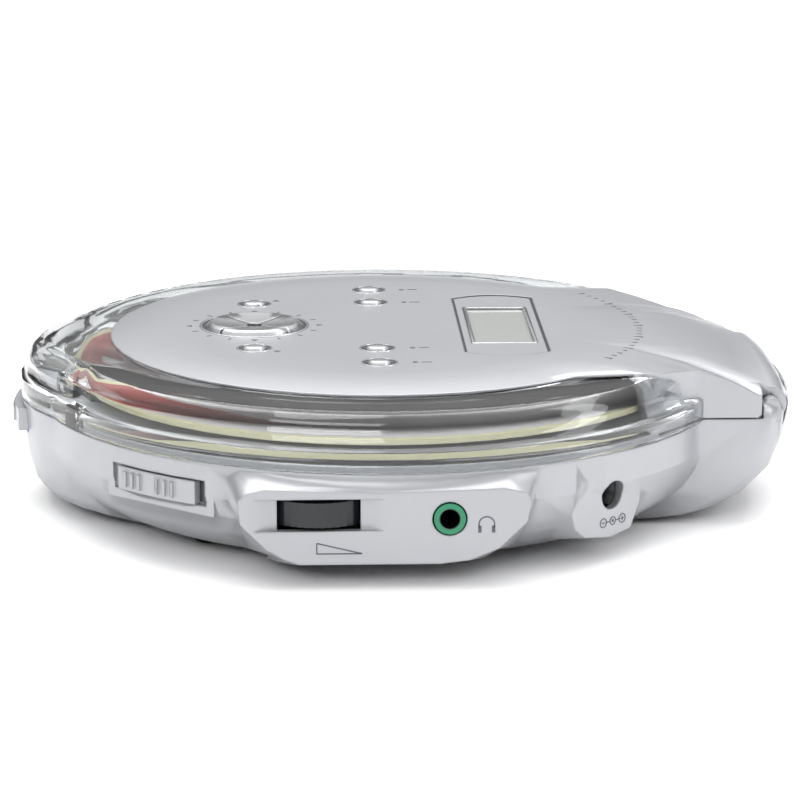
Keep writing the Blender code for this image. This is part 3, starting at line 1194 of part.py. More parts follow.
# Deck, disc and drive
def build_deck():
    top = SEAM_HEIGHT - DECK_TOP_DROP
    inset = WALL + SEAT_GAP
    deck = solid("disc_tray", prism(circle(BODY_RADIUS - inset, SEGMENTS, turn=0.5), DECK_BASE,
                                    top))
    join(deck, solid("tray_ends", prism(hull_outline(inset, inset, inset, HOLLOW_REAR - SEAT_GAP),
                                        DECK_BASE, top)))
    rim = solid("rim", turned([(DECK_RIM_RADIUS + DECK_RIM_WIDTH, top - DECK_THICKNESS / 2),
                               (DECK_RIM_RADIUS + DECK_RIM_WIDTH, top + DECK_RIM_HEIGHT),
                               (DECK_RIM_RADIUS, top + DECK_RIM_HEIGHT),
                               (DECK_RIM_RADIUS, top - DECK_THICKNESS / 2)]))
    front = SEAM_HEIGHT
    cut(rim, solid("rim_gap", box(-REAR_REACH, -DECK_RIM_RADIUS / 2, -HULL_HALF_WIDTH,
                                  HULL_HALF_WIDTH, 0, front + OVERRUN * 3)))
    lobe = LOBE_SHOULDER_HALF_WIDTH + OVERRUN
    cut(rim, solid("rim_gap", box(DECK_RIM_RADIUS / 2, REAR_REACH, -lobe, lobe, 0,
                                  front + OVERRUN * 3)))
    join(deck, rim)
    low, high = DECK_BASE - OVERRUN, top + OVERRUN
    cut(deck, solid("hub_way", rod_z(DECK_HUB_RADIUS, low, high, 0.0, 0.0, 40)))
    cut(deck, solid("sled_way", box(DECK_SLOT_END, 0, -DECK_SLOT_HALF_WIDTH,
                                    DECK_SLOT_HALF_WIDTH, low, high)))
    face_radius = FRONT_ARC_RADIUS + button_back()
    notch = (FRONT_ARC_RADIUS - FRONT_REACH + BUTTON_TRAVEL
             - math.sqrt(face_radius ** 2 - BUTTON_HALF_WIDTH ** 2))
    wide = BUTTON_HALF_WIDTH + BUTTON_LEDGE + SEAT_GAP
    cut(deck, solid("button_way", box(-FRONT_REACH, notch + SEAT_GAP, -wide, wide, low, high)))
    cut(deck, solid("claw_way", box(-FRONT_REACH, DECK_SLOT_END - DECK_THICKNESS,
                                    -CLAW_HALF_WIDTH - HOOK_ARM - RUN_GAP * 4,
                                    CLAW_HALF_WIDTH + HOOK_ARM + RUN_GAP * 4, low, high)))
    cut(deck, solid("pin_way", rod_z(PIN_RADIUS + SEAT_GAP, low, high, PIN_X, PIN_Y,
                                     TINY_SEGMENTS)))
    for sx in (-1, 1):
        for sy in (-1, 1):
            cut(deck, solid("screw_way", rod_z(CASE_SCREW_RADIUS + SEAT_GAP, low,
                                               top - DECK_THICKNESS / 3, sx * SCREW_SPOT_X,
                                               sy * SCREW_SPOT_Y, TINY_SEGMENTS)))
    return finish(deck, GREY, ROOT)


def build_disc():
    z = SEAM_HEIGHT + DISC_RISE
    disc = turned([(DISC_HOLE_RADIUS, z + DISC_THICKNESS), (DISC_HOLE_RADIUS, z),
                   (DISC_RADIUS, z), (DISC_RADIUS, z + DISC_THICKNESS)])
    return add("compact_disc", disc, DISC, SPIN)


def build_hub():
    top = HUB_BASE + HUB_TABLE_THICKNESS
    boss = top + HUB_BOSS_HEIGHT
    slim = HUB_BOSS_RADIUS * 0.75
    hub = solid("turntable_hub", turned([
        (0.0, boss), (slim, boss), (HUB_BOSS_RADIUS, boss - HUB_CLAW_HEIGHT), (HUB_BOSS_RADIUS, top),
        (HUB_TABLE_RADIUS, top), (HUB_TABLE_RADIUS, HUB_BASE), (0.0, HUB_BASE)], 32))
    disc_top = SEAM_HEIGHT + DISC_RISE + DISC_THICKNESS
    for i in range(HUB_CLAW_COUNT):
        turn = 2 * math.pi * i / HUB_CLAW_COUNT
        claw = box(HUB_BOSS_RADIUS * 0.6, HUB_BOSS_RADIUS + HUB_CLAW_REACH, -HUB_CLAW_WIDTH / 2,
                   HUB_CLAW_WIDTH / 2, disc_top + HUB_CLAW_RISE,
                   disc_top + HUB_CLAW_RISE + HUB_CLAW_HEIGHT / 2)
        bmesh.ops.rotate(claw, verts=claw.verts, cent=(0, 0, 0),
                         matrix=Matrix.Rotation(turn, 3, "Z"))
        join(hub, solid("claw", claw))
    cut(hub, solid("shaft_way", rod_z(MOTOR_SHAFT_RADIUS + SEAT_GAP, HUB_BASE - OVERRUN,
                                      HUB_BASE + HUB_TABLE_THICKNESS * 1.5, 0.0, 0.0,
                                      TINY_SEGMENTS)))
    return finish(hub, DARK, SPIN)


def build_motor():
    top = MOTOR_TOP
    shaft = HUB_BASE + HUB_TABLE_THICKNESS
    motor = turned([(0.0, shaft), (MOTOR_SHAFT_RADIUS, shaft), (MOTOR_SHAFT_RADIUS, top),
                    (MOTOR_RADIUS, top), (MOTOR_RADIUS, MOTOR_BASE), (0.0, MOTOR_BASE)], 28)
    return add("spindle_motor", motor, STEEL, ROOT)


def build_chassis():
    """The drive's plate: an open well for the sled and four posts for the rod and the screw."""
    half, front, back = CHASSIS_HALF_WIDTH, CHASSIS_FRONT, CHASSIS_BACK
    corner = CHASSIS_BAR
    outline = [(front, -half + corner), (front + corner, -half), (back, -half), (back, half),
               (front + corner, half), (front, half - corner)]
    plate = solid("drive_chassis", prism(outline, CHASSIS_BASE, CHASSIS_TOP))
    well = DECK_SLOT_HALF_WIDTH
    cut(plate, solid("well", box(DECK_SLOT_END, CHASSIS_WELL_BACK, -well, well,
                                 CHASSIS_BASE - OVERRUN, CHASSIS_TOP + OVERRUN)))
    for end in (DECK_SLOT_END, CHASSIS_WELL_BACK):
        inward = 1 if end < CHASSIS_WELL_BACK else -1
        for side in (-1, 1):
            if side < 0 and inward < 0:
                continue
            x0, x1 = sorted((end - inward * OVERRUN, end + inward * POST_LENGTH))
            y = side * ROD_OFFSET
            y0, y1 = y - POST_WIDTH / 2, y + POST_WIDTH / 2
            y0, y1 = (y0, well + OVERRUN) if side > 0 else (-well - OVERRUN, y1)
            z = SEAM_HEIGHT - ROD_DROP
            join(plate, solid("post", box(x0, x1, y0, y1, CHASSIS_BASE,
                                          min(z + POST_WIDTH / 3, DECK_BASE - SEAT_GAP))))
            cut(plate, solid("bore", rod_x(SCREW_RADIUS + SEAT_GAP, x0 - OVERRUN, x1 + OVERRUN,
                                           y, z, TINY_SEGMENTS)))
    # the wall that holds the sled motor, where the screw's second post would stand
    side = -(ROD_OFFSET + SLED_MOTOR_RADIUS + SEAT_GAP)
    join(plate, solid("motor_wall", box(
        CHASSIS_WELL_BACK - SLED_MOTOR_LENGTH, CHASSIS_WELL_BACK, side - CHASSIS_THICKNESS, side,
        CHASSIS_BASE, DECK_BASE - SEAT_GAP)))
    cut(plate, solid("pin_notch", rod_z(PIN_RADIUS + SEAT_GAP * 2, CHASSIS_BASE - OVERRUN,
                                        CHASSIS_TOP + OVERRUN, PIN_X, PIN_Y, TINY_SEGMENTS)))
    # the waisted dampers under the plate, one piece with it
    low = CHASSIS_BASE - DAMPER_HEIGHT
    waist = DAMPER_RADIUS * 0.7
    for x, y in damper_spots():
        join(plate, solid("damper", turned([
            (0.0, CHASSIS_TOP - CHASSIS_THICKNESS / 2), (waist, CHASSIS_TOP - CHASSIS_THICKNESS / 2),
            (waist, CHASSIS_BASE), (DAMPER_RADIUS, CHASSIS_BASE - DAMPER_HEIGHT / 6),
            (waist, (CHASSIS_BASE + low) / 2), (DAMPER_RADIUS, low), (0.0, low)],
            TINY_SEGMENTS, x, y)))
    return finish(plate, STEEL, ROOT)


def rod_span():
    """The rod's two ends along X: the outer faces of the posts' bores."""
    return DECK_SLOT_END - SEAT_GAP, CHASSIS_WELL_BACK + SEAT_GAP


def build_guide_rod():
    x0, x1 = rod_span()
    return add("guide_rod", rod_x(ROD_RADIUS, x0, x1, ROD_OFFSET, SEAM_HEIGHT - ROD_DROP,
                                  TINY_SEGMENTS), STEEL, ROOT)


def build_lead_screw():
    """A turned screw between two plain journals."""
    x0 = rod_span()[0]
    x1 = CHASSIS_WELL_BACK - SLED_MOTOR_LENGTH - SEAT_GAP * 2
    y, z = -ROD_OFFSET, SEAM_HEIGHT - ROD_DROP
    start, stop = x0 + POST_LENGTH + OVERRUN, x1 - OVERRUN
    rows = [(x0, SCREW_ROOT_RADIUS), (start, SCREW_ROOT_RADIUS), (start, SCREW_RADIUS),
            (stop, SCREW_RADIUS), (stop, SCREW_ROOT_RADIUS), (x1, SCREW_ROOT_RADIUS)]
    rings = [[(x, cy, cz) for cy, cz in circle(radius, 12, y, z)] for x, radius in rows]
    return add("lead_screw", loft(rings), STEEL, SCREW)


def build_sled_motor():
    back = CHASSIS_WELL_BACK - SEAT_GAP
    return add("sled_motor", rod_x(SLED_MOTOR_RADIUS, back - SLED_MOTOR_LENGTH + SEAT_GAP, back,
                                   -ROD_OFFSET, SEAM_HEIGHT - ROD_DROP, 20), STEEL, ROOT)


def build_sled():
    z0, z1 = SEAM_HEIGHT - SLED_BOTTOM_DROP, SEAM_HEIGHT - SLED_TOP_DROP
    half = SLED_LENGTH / 2
    x = SLED_REST_X
    axis_z = SEAM_HEIGHT - ROD_DROP
    corner = SLED_LENGTH / 5
    width = SLED_HALF_WIDTH
    outline = [(x - half, -width + corner), (x - half + corner, -width),
               (x + half, -width), (x + half, width), (x - half + corner, width),
               (x - half, width - corner)]
    sled = solid("pickup_sled", prism(outline, z0, z1))
    for side, shift in ((1, 0.0), (-1, SLED_NUT_OFFSET)):
        cx = x + shift
        y = side * ROD_OFFSET
        ear = SLED_EAR_LENGTH / 2
        join(sled, solid("ear", rod_x(SLED_EAR_RADIUS, cx - ear, cx + ear, y, axis_z, 14)))
        root = sorted((side * (width - OVERRUN), y))
        join(sled, solid("ear_root", box(cx - ear, cx + ear, *root,
                                         axis_z - SLED_EAR_RADIUS * 0.8,
                                         axis_z - SCREW_RADIUS)))
        cut(sled, solid("ear_bore", rod_x(SCREW_RADIUS + SEAT_GAP, cx - ear - OVERRUN,
                                          cx + ear + OVERRUN, y, axis_z, TINY_SEGMENTS)))
    return finish(sled, DARK, SLED)


def build_lens():
    x = SLED_REST_X + LENS_OFFSET
    base = SEAM_HEIGHT - SLED_TOP_DROP + SEAT_GAP
    top = base + LENS_RISE
    half_l, half_w = LENS_BASE_LENGTH / 2, LENS_BASE_WIDTH / 2
    carrier = solid("lens_carrier", box(x - half_l, x + half_l, -half_w, half_w, base,
                                        base + LENS_RISE * 0.55))
    join(carrier, solid("neck", rod_z(LENS_RADIUS + SEAT_GAP * 2, base + LENS_RISE * 0.3,
                                      top - SEAT_GAP, x, 0.0)))
    cut(carrier, solid("lens_seat", rod_z(LENS_RADIUS + SEAT_GAP, top - LENS_RISE * 0.4,
                                          top + OVERRUN, x, 0.0)))
    finish(carrier, DARK, SLED)
    low = top - LENS_RISE * 0.4 + SEAT_GAP
    lens = turned([(0.0, top), (LENS_RADIUS * 0.6, top - SEAT_GAP / 2),
                   (LENS_RADIUS, top - SEAT_GAP), (LENS_RADIUS, low), (0.0, low)],
                  SMALL_SEGMENTS, x, 0.0)
    add("pickup_lens", lens, LENS, SLED)


def board_outline():
    """A segment of the bowl's circle behind the controls."""
    start = math.atan2(-math.sqrt(BOARD_RADIUS ** 2 - BOARD_HALF_WIDTH ** 2), -BOARD_HALF_WIDTH)
    points = []
    steps = 20
    span = -math.pi / 2 - start
    for i in range(steps + 1):
        angle = start + 2 * span * i / steps
        points.append((BOARD_RADIUS * math.cos(angle), BOARD_RADIUS * math.sin(angle)))
    return points + [(BOARD_HALF_WIDTH, BOARD_CHORD), (-BOARD_HALF_WIDTH, BOARD_CHORD)]


def build_board():
    board = solid("main_board", prism(board_outline(), BOARD_TOP - BOARD_THICKNESS, BOARD_TOP))
    size = BOARD_CHIP_SIZE / 2
    low = BOARD_TOP - BOARD_THICKNESS / 2
    for x, y, scale in ((-BOARD_HALF_WIDTH / 2, BOARD_CHORD - size * 1.5, 1.0),
                        (BOARD_HALF_WIDTH / 3, BOARD_CHORD - size * 1.3, 0.7)):
        join(board, solid("chip", box(x - size * scale, x + size * scale, y - size * scale,
                                      y + size * scale, low, BOARD_TOP + BOARD_CHIP_HEIGHT)))
    return finish(board, BOARD, ROOT)


def wheel_centre_y():
    return -(POD_REACH + WHEEL_PROUD - WHEEL_RADIUS)


def build_wheel():
    z = SEAM_HEIGHT - WHEEL_DROP
    low, high = z - WHEEL_THICKNESS / 2, z + WHEEL_THICKNESS / 2
    count = WHEEL_TEETH * 2
    root = WHEEL_RADIUS - WHEEL_TOOTH
    cy = wheel_centre_y()
    rim = []
    for i in range(count):
        radius = WHEEL_RADIUS if i % 2 else root
        angle = 2 * math.pi * i / count
        rim.append((WHEEL_X + radius * math.cos(angle), cy + radius * math.sin(angle)))
    wheel = solid("volume_wheel", prism(rim, low, high))
    cut(wheel, solid("bore", rod_z(POT_SHAFT_RADIUS + SEAT_GAP, low - OVERRUN, high + OVERRUN,
                                   WHEEL_X, cy)))
    return finish(wheel, DARK, WHEEL)


def build_pot():
    z = SEAM_HEIGHT - WHEEL_DROP - WHEEL_THICKNESS / 2 - SEAT_GAP
    cy = wheel_centre_y()
    half = POT_SIZE / 2
    pot = solid("volume_pot", box(WHEEL_X - half, WHEEL_X + half, cy - half, cy + half,
                                  BOARD_TOP + SEAT_GAP, z))
    join(pot, solid("shaft", rod_z(POT_SHAFT_RADIUS, BOARD_TOP + SEAT_GAP * 2,
                                   z + WHEEL_THICKNESS, WHEEL_X, cy)))
    return finish(pot, STEEL, ROOT)


def build_jack():
    z = SEAM_HEIGHT - JACK_DROP
    half = JACK_WIDTH / 2
    front = -(POD_REACH - WALL - SEAT_GAP)
    base = BOARD_TOP + SEAT_GAP
    jack = solid("headphone_jack", box(JACK_X - half, JACK_X + half, front, front + JACK_DEPTH,
                                       base, z + (z - base)))
    join(jack, solid("nose", rod_y(JACK_NOSE_RADIUS, -POD_REACH - JACK_NOSE_PROUD,
                                   front + OVERRUN, JACK_X, z)))
    cut(jack, solid("bore", rod_y(JACK_BORE_RADIUS, -POD_REACH - OVERRUN,
                                  front + JACK_DEPTH - WALL, JACK_X, z)))
    return finish(jack, GREEN, ROOT)


def build_inlet():
    z = SEAM_HEIGHT - INLET_HOLE_DROP
    half = INLET_BODY_WIDTH / 2
    front = -(INLET_REACH - WALL - SEAT_GAP)
    base = BOARD_TOP + SEAT_GAP
    body = solid("dc_inlet", turned_frame(
        box(INLET_HOLE_SHIFT - half, INLET_HOLE_SHIFT + half, front, front + INLET_BODY_DEPTH,
            base, z + (z - base)), INLET_ANGLE))
    cut(body, solid("bore", turned_frame(
        rod_y(INLET_HOLE_RADIUS, front - OVERRUN, front + INLET_BORE_DEPTH, INLET_HOLE_SHIFT, z),
        INLET_ANGLE)))
    join(body, solid("pin", turned_frame(
        rod_y(INLET_PIN_RADIUS, front + OVERRUN, front + INLET_BORE_DEPTH + OVERRUN,
              INLET_HOLE_SHIFT, z, TINY_SEGMENTS), INLET_ANGLE)))
    return finish(body, DARK, ROOT)


def build_slider():
    """The mode knob: its face follows the bowl, with two groups of ribs and a lever behind."""
    z = SEAM_HEIGHT - SLIDER_DROP
    low = z - SLIDER_WINDOW_HEIGHT / 2 + SEAT_GAP
    high = z + SLIDER_WINDOW_HEIGHT / 2 - SEAT_GAP
    floor = slider_floor() + SEAT_GAP
    half = SLIDER_LENGTH / 2
    radius = BODY_RADIUS + SLIDER_PROUD
    outline = [(half, -floor), (-half, -floor)]
    steps = 10
    for i in range(steps + 1):
        x = -half + SLIDER_LENGTH * i / steps
        outline.append((x, -math.sqrt(radius ** 2 - x * x)))
    knob = solid("mode_slider", turned_frame(prism(outline, low, high), SLIDER_ANGLE))
    for share in SLIDER_RIB_SHARES:
        for i in range(SLIDER_RIB_COUNT):
            x = SLIDER_LENGTH * share + SLIDER_RIB_PITCH * (i - 1)
            y = -math.sqrt(radius ** 2 - x * x)
            join(knob, solid("rib", turned_frame(
                box(x - SLIDER_RIB_WIDTH / 2, x + SLIDER_RIB_WIDTH / 2, y - SLIDER_RIB_HEIGHT,
                    y + SLIDER_RIB_HEIGHT, low + SLIDER_RIB_WIDTH, high - SLIDER_RIB_WIDTH),
                SLIDER_ANGLE)))
    join(knob, solid("lever", turned_frame(
        box(-LEVER_LENGTH / 2, LEVER_LENGTH / 2, -floor - SEAT_GAP,
            -(slider_floor() - WALL) - SEAT_GAP, z - LEVER_WIDTH / 2, z + LEVER_WIDTH / 2),
        SLIDER_ANGLE)))
    return finish(knob, SILVER, SLIDE)


def build_switch():
    z = SEAM_HEIGHT - SLIDER_DROP
    face = -(slider_floor() - WALL - SEAT_GAP)
    half = SWITCH_LENGTH / 2
    return add("mode_switch", turned_frame(
        box(-half, half, face, face + SWITCH_DEPTH, z - SWITCH_HEIGHT / 2, z + SWITCH_HEIGHT / 2),
        SLIDER_ANGLE), STEEL, ROOT, smooth=False)


def arc_band(outer, inner, half, z0, z1):
    """A band in plan between two arcs of the tab."""
    points = open_button_outline(half, outer)
    points += open_button_outline(half, inner)[::-1]
    return prism(points[::-1], z0, z1)


def button_back():
    """How far behind the tab's arc the button's tall face ends."""
    return -(WALL + SEAT_GAP)


def build_button():
    """The latch button: a curved face, a ledge behind the wall and a hook frame."""
    z = SEAM_HEIGHT - BUTTON_DROP
    half = BUTTON_HEIGHT / 2
    ledge_out = -(WALL + BUTTON_SLACK)
    ledge_in = ledge_out - BUTTON_LEDGE_THICKNESS
    below_tray = DECK_BASE - SEAT_GAP
    button = solid("open_button", arc_band(BUTTON_PROUD, button_back(), BUTTON_HALF_WIDTH,
                                           z - half, z + half))
    join(button, solid("stem", arc_band(-WALL, ledge_out - BUTTON_LEDGE_THICKNESS / 2,
                                        BUTTON_HALF_WIDTH - SEAT_GAP, z - half + SEAT_GAP,
                                        below_tray - SEAT_GAP)))
    join(button, solid("ledge", arc_band(ledge_out, ledge_in, BUTTON_HALF_WIDTH + BUTTON_LEDGE,
                                         z - half - BUTTON_LEDGE, below_tray)))
    for i in range(BUTTON_RIB_COUNT):
        y = BUTTON_HALF_WIDTH * (i - (BUTTON_RIB_COUNT - 1) / 2) / BUTTON_RIB_COUNT
        centre = FRONT_ARC_RADIUS - FRONT_REACH
        x = centre - math.sqrt((FRONT_ARC_RADIUS + BUTTON_PROUD) ** 2 - y * y)
        join(button, solid("rib", box(x - BUTTON_RIB, x + BUTTON_RIB, y - BUTTON_RIB,
                                      y + BUTTON_RIB, z - half * 0.7, z + half * 0.7)))
    arm_in = CLAW_HALF_WIDTH + RUN_GAP * 2
    arm_out = arm_in + HOOK_ARM
    bar_front = CLAW_X + CLAW_THICKNESS / 2 + CLAW_BARB + SEAT_GAP
    bar_back = bar_front + HOOK_ARM
    top = SEAM_HEIGHT - HOOK_DROP
    start = FRONT_ARC_RADIUS - FRONT_REACH - (FRONT_ARC_RADIUS + ledge_in) - SEAT_GAP
    frame = solid("frame", box(start, bar_back, -arm_out, arm_out, top - HOOK_THICKNESS, top))
    cut(frame, solid("frame_way", box(start - OVERRUN, bar_front, -arm_in, arm_in,
                                      top - HOOK_THICKNESS - OVERRUN, top + OVERRUN)))
    join(button, frame)
    room = CLAW_X - CLAW_THICKNESS / 2 - SEAT_GAP - BUTTON_TRAVEL
    cut(button, solid("claw_room", box(room, bar_front, -arm_in, arm_in,
                                       z - half - BUTTON_LEDGE - OVERRUN, top + OVERRUN)))
    return finish(button, SILVER, BUTTON)


def build_claw():
    """The lid's latch claw: a bar behind the tab's wall and a barbed tongue."""
    low = SEAM_HEIGHT + CLAW_BAR_RISE
    high = low + CLAW_BAR_THICKNESS
    inset = CLEAR_THICKNESS + SEAT_GAP
    front = open_button_outline(CLAW_BAR_HALF_WIDTH, -inset)
    outline = front + [(CLAW_BAR_BACK, -CLAW_BAR_HALF_WIDTH), (CLAW_BAR_BACK, CLAW_BAR_HALF_WIDTH)]
    claw = solid("latch_claw", prism(outline[::-1], low, high))
    x0, x1 = CLAW_X - CLAW_THICKNESS / 2, CLAW_X + CLAW_THICKNESS / 2
    tip = SEAM_HEIGHT - CLAW_DROP
    barb = [(x0, low + CLAW_BAR_THICKNESS / 2), (x0, tip + CLAW_BARB / 2), (x0 + CLAW_BARB / 2, tip),
            (x1, tip), (x1 + CLAW_BARB, tip + CLAW_BARB / 2), (x1 + CLAW_BARB, tip + CLAW_BARB),
            (x1, tip + CLAW_BARB), (x1, low + CLAW_BAR_THICKNESS / 2)]
    join(claw, solid("tongue", side_prism(barb, -CLAW_HALF_WIDTH, CLAW_HALF_WIDTH)))
    return finish(claw, GREY, LID)


def build_lid_pin():
    low, high = SEAM_HEIGHT - PIN_BOTTOM_DROP, SEAM_HEIGHT + PIN_TOP_RISE
    pin = turned([(0.0, high), (PIN_RADIUS * 0.7, high), (PIN_RADIUS, high - PIN_RADIUS * 0.4),
                  (PIN_RADIUS, low), (0.0, low)], TINY_SEGMENTS, PIN_X, PIN_Y)
    add("lid_switch_pin", pin, DARK, LIDPIN)
    half = PIN_SWITCH_SIZE / 2 - SEAT_GAP
    base = switch_base()
    add("lid_switch", box(PIN_X - half, PIN_X + half, PIN_Y - half, PIN_Y + half, base,
                          base + PIN_SWITCH_HEIGHT), DARK, ROOT, smooth=False)


def build_cells():
    z = CELL_BASE + CELL_RADIUS
    ends = CELL_LENGTH / 2 + CELL_NUB_LENGTH / 2
    for name, x, side in (("battery_cell_front", CELL_X, 1), ("battery_cell_rear", CELL_BACK_X, -1)):
        y = side * (ends - CELL_NUB_LENGTH)
        rows = [(-side * ends, CELL_RADIUS * 0.9), (-side * (ends - SEAT_GAP), CELL_RADIUS),
                (y - side * SEAT_GAP, CELL_RADIUS), (y, CELL_RADIUS * 0.9),
                (y, CELL_NUB_RADIUS), (side * ends, CELL_NUB_RADIUS)]
        rings = [[(px, row_y, pz) for px, pz in circle(radius, 18, x, z)] for row_y, radius in rows]
        add(name, loft(rings), JACKET, ROOT)


def build_contacts():
    z = CELL_BASE + CELL_RADIUS
    inner = CELL_LENGTH / 2 + CELL_NUB_LENGTH / 2 + SEAT_GAP
    for name, side in (("cell_contact_near", -1), ("cell_contact_far", 1)):
        y0, y1 = sorted((side * inner, side * (inner + CONTACT_THICKNESS)))
        add(name, box(CELL_X - CONTACT_HALF_WIDTH, CELL_BACK_X + CONTACT_HALF_WIDTH, y0, y1,
                      z - CONTACT_HALF_WIDTH, z + CONTACT_HALF_WIDTH), STEEL, ROOT, smooth=False)


def door_axis():
    barrel = DOOR_THICKNESS / 2
    return BAY_FRONT + SEAT_GAP + barrel, HULL_LIFT + barrel


def build_door():
    """The battery door: a plate with a round hinge edge and a shallow finger grip."""
    x, z = door_axis()
    barrel = DOOR_THICKNESS / 2
    half = BAY_HALF_LENGTH - SEAT_GAP
    back = BAY_BACK - SEAT_GAP
    outline = [(back, HULL_LIFT + barrel / 2), (back, z + barrel)]
    steps = 8
    for i in range(steps + 1):
        angle = math.pi / 2 + math.pi * i / steps
        outline.append((x + barrel * math.cos(angle), z + barrel * math.sin(angle)))
    outline.append((back - barrel / 2, HULL_LIFT))
    door = solid("battery_door", side_prism(outline[::-1], -half, half))
    for i in range(3):
        gx = back - DOOR_THICKNESS * (2 + i * 1.5)
        cut(door, solid("grip", box(gx, gx + DOOR_THICKNESS / 2, -half / 3, half / 3, 0,
                                    HULL_LIFT + DOOR_GRIP_DEPTH)))
    return finish(door, SILVER, DOOR)


def build_screws():
    top = SEAM_HEIGHT - DECK_TOP_DROP - DECK_THICKNESS / 3 - SEAT_GAP
    seat_z = CASE_SCREW_BASE + CASE_SCREW_HEAD - SEAT_GAP
    spots = [(sx * SCREW_SPOT_X, sy * SCREW_SPOT_Y) for sx in (-1, 1) for sy in (-1, 1)]
    for i, (x, y) in enumerate(spots):
        add("case_screw_%d" % (i + 1), turned([
            (0.0, top), (CASE_SCREW_RADIUS, top), (CASE_SCREW_RADIUS, seat_z),
            (CASE_SCREW_HEAD_RADIUS, seat_z), (CASE_SCREW_HEAD_RADIUS, CASE_SCREW_BASE),
            (0.0, CASE_SCREW_BASE)], TINY_SEGMENTS, x, y), STEEL, ROOT)


def build_feet():
    for i, (x, y) in enumerate(foot_spots()):
        add("rubber_foot_%d" % (i + 1), turned([
            (0.0, FOOT_HEIGHT), (FOOT_RADIUS, FOOT_HEIGHT), (FOOT_RADIUS, SEAT_GAP),
            (FOOT_RADIUS - SEAT_GAP, 0.0), (0.0, 0.0)], SMALL_SEGMENTS, x, y), RUBBER, ROOT)


def build_hinge_pins():
    start = NOSE_HALF_LENGTH - HINGE_PIN_LENGTH / 2
    stop = CHEEK_INNER + CHEEK_WIDTH - WALL / 3 - SEAT_GAP
    for name, side in (("hinge_pin_near", -1), ("hinge_pin_far", 1)):
        add(name, rod_y(HINGE_PIN_RADIUS, *sorted((side * start, side * stop)), HINGE_X,
                        HINGE_HEIGHT, 10), STEEL, ROOT)


# The parts that move, each under an empty on its own axis
LID = empty("lid_hinge", (HINGE_X, 0, HINGE_HEIGHT), ROOT)
SPIN = empty("disc_axis", (0, 0, HUB_BASE), ROOT)
SLED = empty("sled_travel", (SLED_REST_X, 0, SEAM_HEIGHT - ROD_DROP), ROOT)
SCREW = empty("screw_axis", (SLED_REST_X, -ROD_OFFSET, SEAM_HEIGHT - ROD_DROP), ROOT)
WHEEL = empty("wheel_axis", (WHEEL_X, wheel_centre_y(), SEAM_HEIGHT - WHEEL_DROP), ROOT)
SLIDE = empty("slider_travel", (BODY_RADIUS * math.cos(SLIDER_ANGLE),
                                BODY_RADIUS * math.sin(SLIDER_ANGLE),
                                SEAM_HEIGHT - SLIDER_DROP), ROOT)
BUTTON = empty("button_travel", (-FRONT_REACH, 0, SEAM_HEIGHT - BUTTON_DROP), ROOT)
LIDPIN = empty("pin_travel", (PIN_X, PIN_Y, SEAM_HEIGHT), ROOT)
DOOR = empty("door_hinge", (door_axis()[0], 0, door_axis()[1]), ROOT)

build_housing()
build_deck()
build_feet()
build_screws()
build_cells()
build_contacts()
build_door()
build_board()
build_pot()
build_wheel()
build_jack()
build_inlet()
build_switch()
build_slider()
build_button()
build_lid_pin()
build_hinge_pins()
build_chassis()
build_guide_rod()
build_lead_screw()
build_sled_motor()
build_sled()
build_lens()
build_motor()
build_hub()
build_disc()
build_clear_cover()
build_plate()
build_inner_cover()
build_lid_board()
build_key_mat()
build_lid_screws()
build_display()
build_claw()
build_round_key("key_upper_left", PAD_X, PAD_KEY_OFFSET)
build_round_key("key_lower_left", PAD_X, -PAD_KEY_OFFSET)
build_round_key("key_far_outer", MID_KEY_X, MID_KEY_OUTER)
build_round_key("key_far_inner", MID_KEY_X, MID_KEY_INNER)
build_round_key("key_near_inner", MID_KEY_X, -MID_KEY_INNER)
build_round_key("key_near_outer", MID_KEY_X, -MID_KEY_OUTER)
build_pad_key("pad_key_right", 0.0)
build_pad_key("pad_key_far", math.pi / 2)
build_pad_key("pad_key_left", math.pi)
build_pad_key("pad_key_near", -math.pi / 2)
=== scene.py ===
# %% [markdown]
# # A portable disc player, dressed for its portrait
#
# The player is a shallow silver bowl with a lid of two pieces: a clear acrylic ring and a
# lacquered silver plate on top of it, which runs back into the hinge. We start from the packed
# solids, which fix every place and every joint, and give them their finishes. Where the solid's
# facets would show, a merged and smoothly shaded copy stands for it.

# %% load the solids
import json
import math

import bpy
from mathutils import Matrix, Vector

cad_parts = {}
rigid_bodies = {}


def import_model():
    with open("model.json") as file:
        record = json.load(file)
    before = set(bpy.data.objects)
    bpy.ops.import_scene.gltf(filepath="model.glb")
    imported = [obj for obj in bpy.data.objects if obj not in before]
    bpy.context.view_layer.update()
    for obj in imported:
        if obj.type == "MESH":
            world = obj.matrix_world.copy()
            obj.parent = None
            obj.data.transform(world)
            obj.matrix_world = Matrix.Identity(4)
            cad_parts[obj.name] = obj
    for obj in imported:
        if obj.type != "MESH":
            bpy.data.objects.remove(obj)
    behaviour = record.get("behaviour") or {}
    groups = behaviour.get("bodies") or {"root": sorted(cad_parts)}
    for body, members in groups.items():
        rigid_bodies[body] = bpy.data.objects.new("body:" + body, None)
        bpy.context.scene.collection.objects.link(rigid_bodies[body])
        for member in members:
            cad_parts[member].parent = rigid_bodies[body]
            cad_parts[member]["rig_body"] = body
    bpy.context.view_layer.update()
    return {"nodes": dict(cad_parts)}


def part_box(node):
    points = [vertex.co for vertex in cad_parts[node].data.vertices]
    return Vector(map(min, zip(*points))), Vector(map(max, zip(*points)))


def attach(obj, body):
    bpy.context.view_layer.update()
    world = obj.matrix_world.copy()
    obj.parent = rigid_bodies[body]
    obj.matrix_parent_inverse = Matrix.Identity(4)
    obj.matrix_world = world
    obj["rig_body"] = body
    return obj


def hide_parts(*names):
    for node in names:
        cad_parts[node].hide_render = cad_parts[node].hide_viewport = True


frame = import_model()
